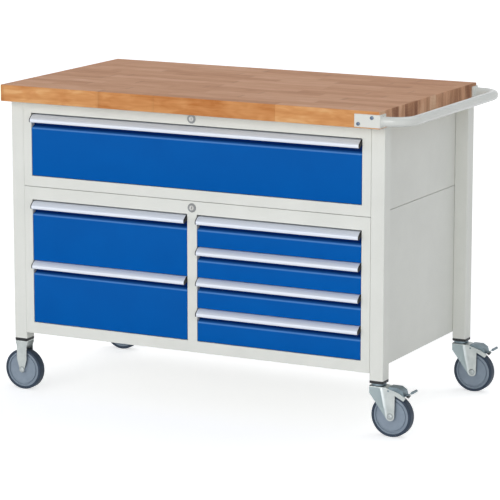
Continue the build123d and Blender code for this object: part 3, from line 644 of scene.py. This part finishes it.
# Steel, pressed, zinc plated and passivated: bluer than the forks, and darkened as a painted shade
# for the pedals and swivel heads, which sit in shade
shaded_blue_zinc = plated("blue_zinc_steel_painted_shade", "#6A787F", "#7F8D93", 18.0, 0.4)
# Steel, riveted over and zinc plated: duller than the forks, so that the domes don't glare
dull_zinc = plated("dull_zinc_plated_rivet_steel", "#9DA4A5", "#AEB3B3", 6.0, 0.52)
# Steel, turned and passivated darker: blue-grey dots on the pale brackets
dark_zinc = plated("dark_zinc_plated_steel", "#5F6A7A", "#738092", 4.0, 0.4)
# Brass, turned and nickel plated: a pale, warm, soft mirror
nickel = plated("satin_nickel_plated_brass", "#B2B1AE", "#C4C3C0", 5.0, 0.3)
# Zinc casting, plated with dark nickel: a mid-grey satin ring
dark_nickel = plated("dark_nickel_plated_casting", "#787A7A", "#8C8E8E", 5.0, 0.36)
print("plated", [m.name for m in (zinc, shaded_blue_zinc, dull_zinc, dark_zinc, nickel, dark_nickel)])

# %% [markdown]
# ## Plastics and rubber
# The grip caps and leg plugs are moulded black polypropylene with a fine spark-eroded grain. The
# wheel bodies are blue-grey polypropylene and the treads dark blue-grey rubber, which is the most
# matt of the three. They differ only in colour, gloss and grain, so one function makes them all.

# %% Plastics and rubber
MOULD_CLOUD = 22
DULL_DRIFT = 0.08


def moulded(name, colour, shade, rough, grain_size, relief):
    """A moulded surface: a cloudy colour and a fine grain of a real size in millimetres."""
    finish, tree, shader, place = new_finish(name, Specular_IOR_Level=0.4)
    cloud = add_node(
        tree, "ShaderNodeTexNoise",
        {"Vector": place, "Scale": 1 / MOULD_CLOUD, "Detail": 4.0, "Roughness": 0.6},
    ).outputs[0]
    body = add_node(
        tree, "ShaderNodeValToRGB", {0: cloud}, stops=[(0.3, shade), (0.7, colour)]
    ).outputs["Color"]
    tree.links.new(body, shader.inputs["Base Color"])
    grain = add_node(
        tree, "ShaderNodeTexNoise", {"Vector": place, "Scale": 1 / grain_size, "Detail": 2.0}
    ).outputs[0]
    dull = add_node(
        tree, "ShaderNodeMapRange",
        {"Value": grain, "To Min": rough - DULL_DRIFT, "To Max": rough + DULL_DRIFT},
    ).outputs[0]
    tree.links.new(dull, shader.inputs["Roughness"])
    bump = add_node(
        tree, "ShaderNodeBump", {"Height": grain, "Strength": relief, "Distance": 0.1 * MM}
    ).outputs[0]
    tree.links.new(bump, shader.inputs["Normal"])
    return finish


# Polypropylene, moulded: black and finely grained on the caps, smoother and blue-grey on the wheels
black_plastic = moulded("black_polypropylene_moulded", "#1B1D20", "#141518", 0.5, 0.8, 0.2)
wheel_plastic = moulded("blue_grey_polypropylene_moulded", "#8895A3", "#7F8C9A", 0.46, 1.0, 0.12)
# Rubber, moulded: dark and matt, so that the tread reads as a ring round the wheel
tread_rubber = moulded("dark_blue_grey_rubber", "#2E3D4F", "#253242", 0.62, 1.2, 0.25)
print("plastics", black_plastic.name, wheel_plastic.name, tread_rubber.name)

# %% [markdown]
# ## Frame pieces that stay
# The worktop, the leg tubes and the handle tube already have their true round edges in the frame,
# so they stay and only take their finish.

# %% Dress the frame's own pieces
kept = {
    "worktop": beech,
    "leg_front_left": grey_coat, "leg_front_right": grey_coat,
    "leg_rear_left": grey_coat, "leg_rear_right": grey_coat,
    "push_handle": handle_coat,
}
for node, finish in kept.items():
    nodes[node].material_slots[0].material = finish
print("kept", len(kept))

# %% [markdown]
# ## Folded and pressed pieces
# Sheet steel never has a knife edge: each fold has a radius and each cut edge is broken and then
# thickened by paint. The frame's solids are sharp there, so a copy of each is merged from triangles
# to whole faces, and its sharp edges are bevelled. The bevel is under half the sheet, so a thin rim
# keeps a flat of its own.

# %% Copying, rounding and showing a piece
MERGE_GAP = 0.004 * MM
FLAT_WITHIN = 0.6  # degrees; triangles that differ by less belong to one face
SHARP_FROM = 40  # degrees; softer edges are shaded smooth


def copy_of(node):
    """A node's mesh with its loose triangles merged into whole faces."""
    mesh = bmesh.new()
    mesh.from_mesh(nodes[node].data)
    bmesh.ops.remove_doubles(mesh, verts=mesh.verts, dist=MERGE_GAP)
    bmesh.ops.dissolve_limit(
        mesh, angle_limit=math.radians(FLAT_WITHIN), verts=mesh.verts, edges=mesh.edges
    )
    return mesh


def bevel_edges(mesh, edges, width, segments):
    """Round these edges; width is in millimetres."""
    bmesh.ops.bevel(
        mesh, geom=edges, offset=width * MM, offset_type="OFFSET", segments=segments, profile=0.5,
        affect="EDGES", material=-1, clamp_overlap=True,
    )


def round_edges(mesh, width, segments=2, least_angle=35):
    """Round every edge that turns by more than the least angle."""
    least = math.radians(least_angle)
    sharp = [e for e in mesh.edges if e.is_manifold and e.calc_face_angle() > least]
    bevel_edges(mesh, sharp, width, segments)
    return mesh


def show(mesh, name, body, finish, slot, *replaced):
    """Make a bmesh a piece on a body, with its finish, and hide the nodes that it stands for."""
    data = bpy.data.meshes.new(name)
    mesh.to_mesh(data)
    mesh.free()
    data.materials.append(finish)
    data.shade_smooth()
    data.set_sharp_from_angle(angle=math.radians(SHARP_FROM))
    piece = bpy.data.objects.new(name, data)
    bpy.context.scene.collection.objects.link(piece)
    even = piece.modifiers.new("even_normals", "WEIGHTED_NORMAL")
    even.keep_sharp = True
    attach(piece, body)
    if replaced:
        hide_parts(*replaced)
    return piece


trial = copy_of("upper_case")
print("upper case", len(nodes["upper_case"].data.polygons), "to", len(trial.faces), "faces")
trial.free()

# %% Cases, brackets, plugs, runners and locks
for node, body, width, finish, slot in [
    ("upper_case", "bench", 0.6, grey_coat, "grey_paint"),
    ("lower_case", "bench", 0.6, grey_coat, "grey_paint"),
    ("push_handle_brackets", "bench", 0.9, grey_coat, "handle_paint"),
    ("leg_plugs", "bench", 0.8, black_plastic, "black_plastic"),
    ("case_runners", "bench", 0.4, zinc, "zinc_steel"),
    ("lock_sleeves", "bench", 0.8, dark_nickel, "lock_chrome"),
    ("upper_lock_barrel", "upper_lock", 0.35, nickel, "lock_chrome"),
    ("lower_lock_barrel", "lower_lock", 0.35, nickel, "lock_chrome"),
]:
    piece = show(round_edges(copy_of(node), width), f"{node}_finished", body, finish, slot, node)
    print(piece.name, len(piece.data.polygons))

# %% [markdown]
# ## Drawers
# Each drawer is a painted tray on two zinc-plated channels, with a folded blue front, an aluminium
# grip and two plastic caps. The tray and its channels share a node, so the copy is split into its
# separate solids: the tray stands for the node, and the channels ride beside it.


# %% Splitting a mesh into its solids
def solids_of(mesh):
    """The separate solids of a mesh as lists of vertices, the tallest first."""
    left, solids = set(mesh.verts), []
    while left:
        reached = [left.pop()]
        for vert in reached:
            near = {edge.other_vert(vert) for edge in vert.link_edges} & left
            left -= near
            reached.extend(near)
        solids.append(reached)
    heights = [[v.co.z for v in verts] for verts in solids]
    order = sorted(range(len(solids)), key=lambda i: -(max(heights[i]) - min(heights[i])))
    return [solids[i] for i in order]


def only_solids(mesh, wanted):
    """Delete every solid but the wanted ones, given as a slice of the solids sorted by height."""
    solids = solids_of(mesh)
    unwanted = [vert for solid in solids if solid not in solids[wanted] for vert in solid]
    bmesh.ops.delete(mesh, geom=unwanted, context="VERTS")
    return mesh


trial = copy_of("top_drawer_tray")
print("solids in a tray node", len(solids_of(trial)))
trial.free()

# %% [markdown]
# The front's ledge gets a wider round than its other edges, because there the sheet is folded
# outwards and catches the light under the grip. How deep in the finger groove and how near the fold
# a point lies are written on the points as two shares from 0 to 1, which the paint reads: a painted
# shade in the groove and a painted highlight along the fold.

# %% Folding a front
FRONT_FACE = -300.0
NEAR = 0.01 * MM
LEDGE_BELOW_FLANGE, LEDGE_ROUND, LEDGE_STEPS = 39.0, 4.5, 6
GROOVE_DEPTH = 15.0
GROOVE_FROM, GROOVE_FADE, GROOVE_TO = 0.25, 0.3, 1.04  # shares of the groove's depth
FOLD_MIDDLE, FOLD_HALF, FOLD_REACH = 1.0, 3.6, 0.3
FRONT_ROUND = 0.6


def folded_front(node):
    """The folded front with its ledge rounded; a painted shade in its finger groove and a
    painted highlight on its fold are attributes.
    """
    mesh = copy_of(node)
    flange_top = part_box(node)[1][2]
    ledge = flange_top - LEDGE_BELOW_FLANGE * MM
    face = FRONT_FACE * MM
    lip = [
        e for e in mesh.edges
        if all(abs(v.co.y - face) < NEAR and abs(v.co.z - ledge) < NEAR for v in e.verts)
    ]
    bevel_edges(mesh, lip, LEDGE_ROUND, LEDGE_STEPS)
    round_edges(mesh, FRONT_ROUND)
    painted_shade = mesh.verts.layers.float.new("painted_shade")
    painted_highlight = mesh.verts.layers.float.new("painted_highlight")
    # Shares of painted shade, deeper into the finger groove, and of painted highlight, along the
    # fold
    for vert in mesh.verts:
        depth = (vert.co.y / MM - FRONT_FACE) / GROOVE_DEPTH
        if depth < GROOVE_TO and ledge < vert.co.z < flange_top:
            vert[painted_shade] = min(max((depth - GROOVE_FROM) / GROOVE_FADE, 0.0), 1.0)
        below = (ledge - vert.co.z) / MM
        if depth < FOLD_REACH and abs(below - FOLD_MIDDLE) < FOLD_HALF:
            vert[painted_highlight] = 1 - abs(below - FOLD_MIDDLE) / FOLD_HALF
    return mesh


trial = folded_front("top_drawer_front")
print("faces of a folded front", len(trial.faces))
trial.free()

# %% [markdown]
# The grip's sloping face is drawn a little crowned, as an extruded strip is, so that its shade runs
# smoothly from the back edge to the nose. The face is cut into lanes along the strip and their
# edges are lifted.

# %% Crowning a grip
GRIP_CROWN = 0.7
GRIP_ROUND = 0.5
LANES = (-0.75, -0.5, -0.25, 0.0, 0.25, 0.5, 0.75)
CUT_GAP = 0.002 * MM
SLOPE_TURN = 0.3  # a face that looks at least this much up and forwards is the sloping one
SAME_TURN = 0.9999
LANE_EDGE = 0.99  # the two long edges of the slope stay where they are


def crowned_grip(node):
    """The grip strip with its sloping face lifted along the middle."""
    mesh = copy_of(node)
    sloping = [f for f in mesh.faces if f.normal.z > SLOPE_TURN and f.normal.y < -SLOPE_TURN]
    slope = max(sloping, key=lambda f: f.calc_area())
    middle, out = slope.calc_center_median(), slope.normal.copy()
    down = Vector((0, -out.z, out.y))
    half = max((v.co - middle).dot(down) for v in slope.verts)
    for lane in LANES:
        lanes = [
            f for f in mesh.faces
            if f.normal.dot(out) > SAME_TURN
            and abs((f.calc_center_median() - middle).dot(out)) < NEAR
        ]
        lane_edges = list({e for f in lanes for e in f.edges})
        lane_verts = list({v for f in lanes for v in f.verts})
        bmesh.ops.bisect_plane(
            mesh, geom=lanes + lane_edges + lane_verts, dist=CUT_GAP,
            plane_co=middle + down * half * lane, plane_no=down,
        )
    for vert in mesh.verts:
        if abs((vert.co - middle).dot(out)) < NEAR:
            share = (vert.co - middle).dot(down) / half
            if abs(share) < LANE_EDGE:
                vert.co += out * GRIP_CROWN * MM * (1 - share ** 2)
    return round_edges(mesh, GRIP_ROUND)


trial = crowned_grip("top_drawer_grip")
print("faces of a crowned grip", len(trial.faces))
trial.free()

# %% [markdown]
# All seven drawers are built alike, so one loop dresses them. Each piece rides on its drawer's body
# and slides out with it.

# %% Trays, fronts, grips and caps
DRAWERS = ["top_drawer", "left_drawer_1", "left_drawer_2"]
DRAWERS += [f"right_drawer_{row}" for row in range(1, 5)]
TRAY_ROUND, CHANNEL_ROUND, CAP_ROUND = 0.35, 0.4, 0.4

for drawer in DRAWERS:
    tray = round_edges(only_solids(copy_of(f"{drawer}_tray"), slice(0, 1)), TRAY_ROUND)
    channels = round_edges(only_solids(copy_of(f"{drawer}_tray"), slice(1, None)), CHANNEL_ROUND)
    front = folded_front(f"{drawer}_front")
    grip = crowned_grip(f"{drawer}_grip")
    caps = round_edges(copy_of(f"{drawer}_grip_caps"), CAP_ROUND)
    pieces = [
        show(tray, f"{drawer}_tray_finished", drawer, grey_coat, "grey_paint", f"{drawer}_tray"),
        show(channels, f"{drawer}_tray_channels", drawer, zinc, "zinc_steel"),
        show(front, f"{drawer}_front_finished", drawer, blue_coat, "blue_paint", f"{drawer}_front"),
        show(
            grip, f"{drawer}_grip_finished", drawer, grip_metal, "grip_aluminium", f"{drawer}_grip"
        ),
        show(
            caps, f"{drawer}_grip_caps_finished", drawer, black_plastic, "black_plastic",
            f"{drawer}_grip_caps",
        ),
    ]
    print(drawer, [len(piece.data.polygons) for piece in pieces])

# %% [markdown]
# ## Turned pieces
# Wheels, axles, screws and weld beads are round about one axis. A short outline of radius and
# offset is spun about that axis, and the sharp circles of the wheels are then bevelled like any
# other edge. The wheel body has a hub, a flat web, a fine groove and an outer ring that carries the
# tread.

# %% Spinning an outline
WHEEL_STEPS, SMALL_STEPS = 96, 48


def spun(outline, centre, axis, steps):
    """A closed outline of (radius, offset) points in millimetres, spun about an axis."""
    mesh = bmesh.new()
    across = Vector((0, 0, 1)) if abs(axis.z) < 0.5 else Vector((1, 0, 0))
    verts = [
        mesh.verts.new((centre + across * radius + axis * offset) * MM)
        for radius, offset in outline
    ]
    edges = [mesh.edges.new(pair) for pair in zip(verts, verts[1:] + verts[:1])]
    bmesh.ops.spin(
        mesh, geom=verts + edges, cent=centre * MM, axis=axis, angle=2 * math.pi, steps=steps,
        use_merge=True,
    )
    bmesh.ops.remove_doubles(mesh, verts=mesh.verts, dist=CUT_GAP)
    bmesh.ops.delete(mesh, geom=[e for e in mesh.edges if not e.link_faces], context="EDGES")
    bmesh.ops.recalc_face_normals(mesh, faces=mesh.faces)
    return mesh


def both_sides(outline):
    """An outline drawn for one side of a wheel, with its mirror image on the other side."""
    return outline + [(radius, -offset) for radius, offset in reversed(outline)]


print("a wheel's facet turns by", 360 / WHEEL_STEPS, "degrees")

# %% [markdown]
# A wheel is two mouldings, the hard body and the rubber tread round it. The shoulders of the tread
# get a much wider round than the edges of the body, as soft rubber has on a real caster.

# %% Wheels
WHEEL_RADIUS = 62.5
TREAD_RADIUS = 62.48
SHOULDER_FROM = 62.4  # edges further out than this are the tread's
RIM_OUTLINE = [
    (6.05, 16.7), (9.2, 16.7), (10.0, 15.8), (11.2, 11.6), (13.5, 10.7), (30.0, 10.6),
    (43.6, 11.4), (45.0, 8.2), (48.4, 8.2), (49.8, 12.5), (53.0, 12.3), (54.5, 11.6),
]
RIM_ROUND, RIM_ANGLE = 0.4, 30
TYRE_OUTLINE = [(54.5, 13.2), (55.4, 14.0), (TREAD_RADIUS, 14.0)]
TYRE_SHOULDER, SHOULDER_STEPS, SHOULDER_ANGLE = 4.0, 5, 60
LEFT_WHEELS, RIGHT_WHEELS = -627.5, 613.5
FRONT_WHEELS, REAR_WHEELS = -278.5, 326.5
WHEELS = {
    "front_left_wheel": (LEFT_WHEELS, FRONT_WHEELS), "rear_left_wheel": (LEFT_WHEELS, REAR_WHEELS),
    "front_right_wheel": (RIGHT_WHEELS, FRONT_WHEELS),
    "rear_right_wheel": (RIGHT_WHEELS, REAR_WHEELS),
}
ALONG_Y = Vector((0, 1, 0))

for wheel, (x, y) in WHEELS.items():
    centre = Vector((x, y, WHEEL_RADIUS))
    rim = spun(both_sides(RIM_OUTLINE), centre, ALONG_Y, WHEEL_STEPS)
    round_edges(rim, RIM_ROUND, least_angle=RIM_ANGLE)
    tyre = spun(both_sides(TYRE_OUTLINE), centre, ALONG_Y, WHEEL_STEPS)
    outermost = {
        v for v in tyre.verts
        if (v.co - centre * MM - ALONG_Y * (v.co.y - y * MM)).length > SHOULDER_FROM * MM
    }
    shoulders = [
        e for e in tyre.edges
        if e.calc_face_angle(0.0) > math.radians(SHOULDER_ANGLE)
        and all(v in outermost for v in e.verts)
    ]
    bevel_edges(tyre, shoulders, TYRE_SHOULDER, SHOULDER_STEPS)
    show(rim, f"{wheel}_rim_finished", wheel, wheel_plastic, "rim_plastic", f"{wheel}_rim")
    show(tyre, f"{wheel}_tyre_finished", wheel, tread_rubber, "tyre_rubber", f"{wheel}_tyre")
    print(wheel, "at", x, y, "shoulder edges", len(shoulders))

# %% [markdown]
# Each axle is a pin riveted over on both sides of its fork: the head is a low dome with a dimple
# where the riveting tool pressed it.

# %% Axles
AXLE_OUTLINE = [
    (0.0, 22.8), (1.6, 22.9), (2.6, 23.7), (4.5, 23.6), (7.0, 23.0), (8.8, 21.9), (9.5, 20.8),
    (9.5, 20.0), (6.0, 20.0),
]
axle_of = {
    "front_right_caster": ["front_right_wheel"], "rear_right_caster": ["rear_right_wheel"],
    "bench": ["front_left_wheel", "rear_left_wheel"],
}


def add_to(group, part):
    """Put a mesh into a group of separate solids."""
    joined = bpy.data.meshes.new("joined_part")
    part.to_mesh(joined)
    part.free()
    group.from_mesh(joined)
    bpy.data.meshes.remove(joined)


for body, wheels in axle_of.items():
    node = "fixed_caster_axles" if body == "bench" else f"{body}_axle"
    pins = bmesh.new()
    for wheel in wheels:
        centre = Vector((*WHEELS[wheel], WHEEL_RADIUS))
        add_to(pins, spun(both_sides(AXLE_OUTLINE), centre, ALONG_Y, SMALL_STEPS))
    show(pins, f"{node}_finished", body, dull_zinc, "zinc_steel", node)
    print(node, len(wheels))

# %% [markdown]
# ## Casters
# The forks and pedals are pressed from thick sheet. A ridge pressed into each arm of a swivel fork
# makes it stiff and parts the arm into a leading face and a trailing one. The arm's outer face is
# cut along the ridge and across at its ends, and the crest is pushed out; smooth shading rounds its
# crease. The two attributes of the paint serve the zinc too: the leading face is darkened with a
# painted shade and the crest lightened with a painted highlight. The fixed forks have plain arms.

# %% Pressing a ridge
ARM_OUT = 20.0
RIDGE_TOP, RIDGE_FOOT = (583.0, 143.5), (595.5, 82.0)
RIDGE_HALF, RIDGE_RISE, CREST_HALF = 9.0, 2.4, 1.6
PLANE_WITHIN = 0.5  # degrees; faces that are more twisted than this are split


def arm_reach(vert):
    """How far a point lies out from the middle of its own caster, across the bench."""
    row = min((FRONT_WHEELS, REAR_WHEELS), key=lambda y: abs(vert.co.y - y * MM))
    return vert.co.y - row * MM


def press_ridge(mesh):
    """Press a ridge into the outside of each arm; a painted shade on its leading side and a
    painted highlight along its crest are attributes.
    """
    start, end = (Vector((x, 0, z)) * MM for x, z in (RIDGE_TOP, RIDGE_FOOT))
    along = (end - start).normalized()
    lead = Vector((along.z, 0, -along.x))
    length = (end - start).length
    crest = (RIDGE_HALF * MM, length - RIDGE_HALF * MM)
    offsets = (-RIDGE_HALF, -CREST_HALF, 0, CREST_HALF, RIDGE_HALF)
    cuts = [(start + lead * offset * MM, lead) for offset in offsets]
    cuts += [(start + along * run, along) for run in (0, *crest, length)]
    for place, normal in cuts:
        bmesh.ops.bisect_plane(
            mesh, geom=mesh.verts[:] + mesh.edges[:] + mesh.faces[:], dist=CUT_GAP,
            plane_co=place, plane_no=normal,
        )
    painted_shade = mesh.verts.layers.float.new("painted_shade")
    painted_highlight = mesh.verts.layers.float.new("painted_highlight")
    raised = 0
    for vert in mesh.verts:
        reach = arm_reach(vert)
        ahead, run = (vert.co - start).dot(lead) / MM, (vert.co - start).dot(along)
        if abs(abs(reach) - ARM_OUT * MM) < NEAR:
            # Painted shade on the leading side of the ridge, painted highlight along its crest
            vert[painted_shade] = min(max((ahead + CREST_HALF) / (2 * CREST_HALF), 0.0), 1.0)
            vert[painted_highlight] = max(1 - abs(ahead + CREST_HALF) / CREST_HALF, 0.0)
            if abs(ahead) < RIDGE_HALF and crest[0] - NEAR < run < crest[1] + NEAR:
                rise = RIDGE_RISE * MM * (1 - abs(ahead) / RIDGE_HALF)
                vert.co.y += math.copysign(rise, reach)
                raised += 1
    bmesh.ops.connect_verts_nonplanar(
        mesh, angle_limit=math.radians(PLANE_WITHIN), faces=mesh.faces
    )
    return mesh, raised


print("ridge length", round(math.dist(RIDGE_TOP, RIDGE_FOOT), 1), "mm")

# %% Forks, heads and pedals
FORK_ROUND, HEAD_ROUND, PEDAL_ROUND = 0.7, 1.0, 0.3

# The swivel heads and, below, the pedals take the blue zinc that is darkened as a painted shade
for node, width, finish in (
    ("fixed_caster_forks", FORK_ROUND, zinc), ("swivel_caster_heads", HEAD_ROUND, shaded_blue_zinc),
):
    mesh = round_edges(copy_of(node), width)
    show(mesh, f"{node}_finished", "bench", finish, "zinc_steel", node)
for corner in ("front_right", "rear_right"):
    fork, raised = press_ridge(copy_of(f"{corner}_caster_fork"))
    show(
        round_edges(fork, FORK_ROUND), f"{corner}_caster_fork_finished", f"{corner}_caster", zinc,
        "zinc_steel", f"{corner}_caster_fork",
    )
    pedal = round_edges(copy_of(f"{corner}_brake_pedal"), PEDAL_ROUND)
    show(
        pedal, f"{corner}_brake_pedal_finished", f"{corner}_brake", shaded_blue_zinc, "zinc_steel",
        f"{corner}_brake_pedal",
    )
    print(corner, "fork and pedal, ridge points raised", raised)

# %% [markdown]
# ## Bracket screws and handle welds
# The brackets are held by pan-head screws with a six-sided socket. The head is spun, the hexagon is
# a six-sided circle with its sides divided so that it can be bridged to the spun rim, and its loop
# is extruded down. Where the handle tube meets its bracket, a weld bead goes round it under the
# paint.

# %% Screws
SCREW_OUTLINE = [
    (2.9, 2.9), (4.4, 2.7), (5.2, 2.0), (5.5, 1.0), (5.5, 0.0), (3.0, 0.0), (3.0, -31.0),
    (2.0, -32.0), (0.0, -32.0),
]
SOCKET_SIDES, SOCKET_ROUND, SOCKET_DEPTH = 6, 2.4, 2.0
SCREW_STEPS = 24
SCREW_PLACES = [(574.0, 932.0), (532.0, 913.0)]
BRACKET_FACE = 354.0


def pan_head_screw():
    """One screw at the origin that points down Z, head up."""
    mesh = bmesh.new()
    verts = [mesh.verts.new((radius * MM, 0, offset * MM)) for radius, offset in SCREW_OUTLINE]
    edges = [mesh.edges.new(pair) for pair in zip(verts, verts[1:])]
    bmesh.ops.spin(
        mesh, geom=verts + edges, cent=(0, 0, 0), axis=(0, 0, 1), angle=2 * math.pi,
        steps=SCREW_STEPS, use_merge=True,
    )
    bmesh.ops.remove_doubles(mesh, verts=mesh.verts, dist=CUT_GAP)
    rim = [e for e in mesh.edges if e.is_boundary]
    hexagon = bmesh.ops.create_circle(
        mesh, segments=SOCKET_SIDES, radius=SOCKET_ROUND * MM
    )["verts"]
    bmesh.ops.translate(mesh, verts=hexagon, vec=(0, 0, SCREW_OUTLINE[0][1] * MM))
    sides = list({e for v in hexagon for e in v.link_edges})
    cuts = SCREW_STEPS // SOCKET_SIDES - 1
    divided = bmesh.ops.subdivide_edges(mesh, edges=sides, cuts=cuts)["geom_split"]
    sides = [e for e in divided if isinstance(e, bmesh.types.BMEdge)]
    bmesh.ops.bridge_loops(mesh, edges=rim + sides)
    walls = bmesh.ops.extrude_edge_only(mesh, edges=sides)["geom"]
    floor_verts = [g for g in walls if isinstance(g, bmesh.types.BMVert)]
    bmesh.ops.translate(mesh, verts=floor_verts, vec=(0, 0, -SOCKET_DEPTH * MM))
    floor_edges = [g for g in walls if isinstance(g, bmesh.types.BMEdge) and g.is_boundary]
    bmesh.ops.contextual_create(mesh, geom=floor_edges)
    bmesh.ops.recalc_face_normals(mesh, faces=mesh.faces)
    return mesh


screws = bmesh.new()
for side in (-1, 1):
    for x, z in SCREW_PLACES:
        screw = pan_head_screw()
        place = Matrix.Translation(Vector((x, side * BRACKET_FACE, z)) * MM)
        turn = Matrix.Rotation(-side * math.pi / 2, 4, "X")
        bmesh.ops.transform(screw, matrix=place @ turn, verts=screw.verts)
        add_to(screws, screw)
show(screws, "bracket_screws_finished", "bench", dark_zinc, "zinc_steel", "bracket_screws")
print("screws", len(SCREW_PLACES) * 2)

# %% Welds
HANDLE_Y, HANDLE_Z = 340.0, 922.5
BRACKET_END = 600.0
ALONG_X = Vector((1, 0, 0))
WELD_OUTLINE = [(13.0, 0.0), (16.4, 0.0), (16.0, 1.2), (15.0, 2.4), (14.1, 3.0), (13.0, 3.0)]

for side, end in ((-1, "front"), (1, "rear")):
    centre = Vector((BRACKET_END, side * HANDLE_Y, HANDLE_Z))
    bead = spun(WELD_OUTLINE, centre, ALONG_X, SMALL_STEPS)
    show(bead, f"{end}_handle_weld", "bench", handle_coat, "handle_paint")
    print(end, "weld at", tuple(centre))
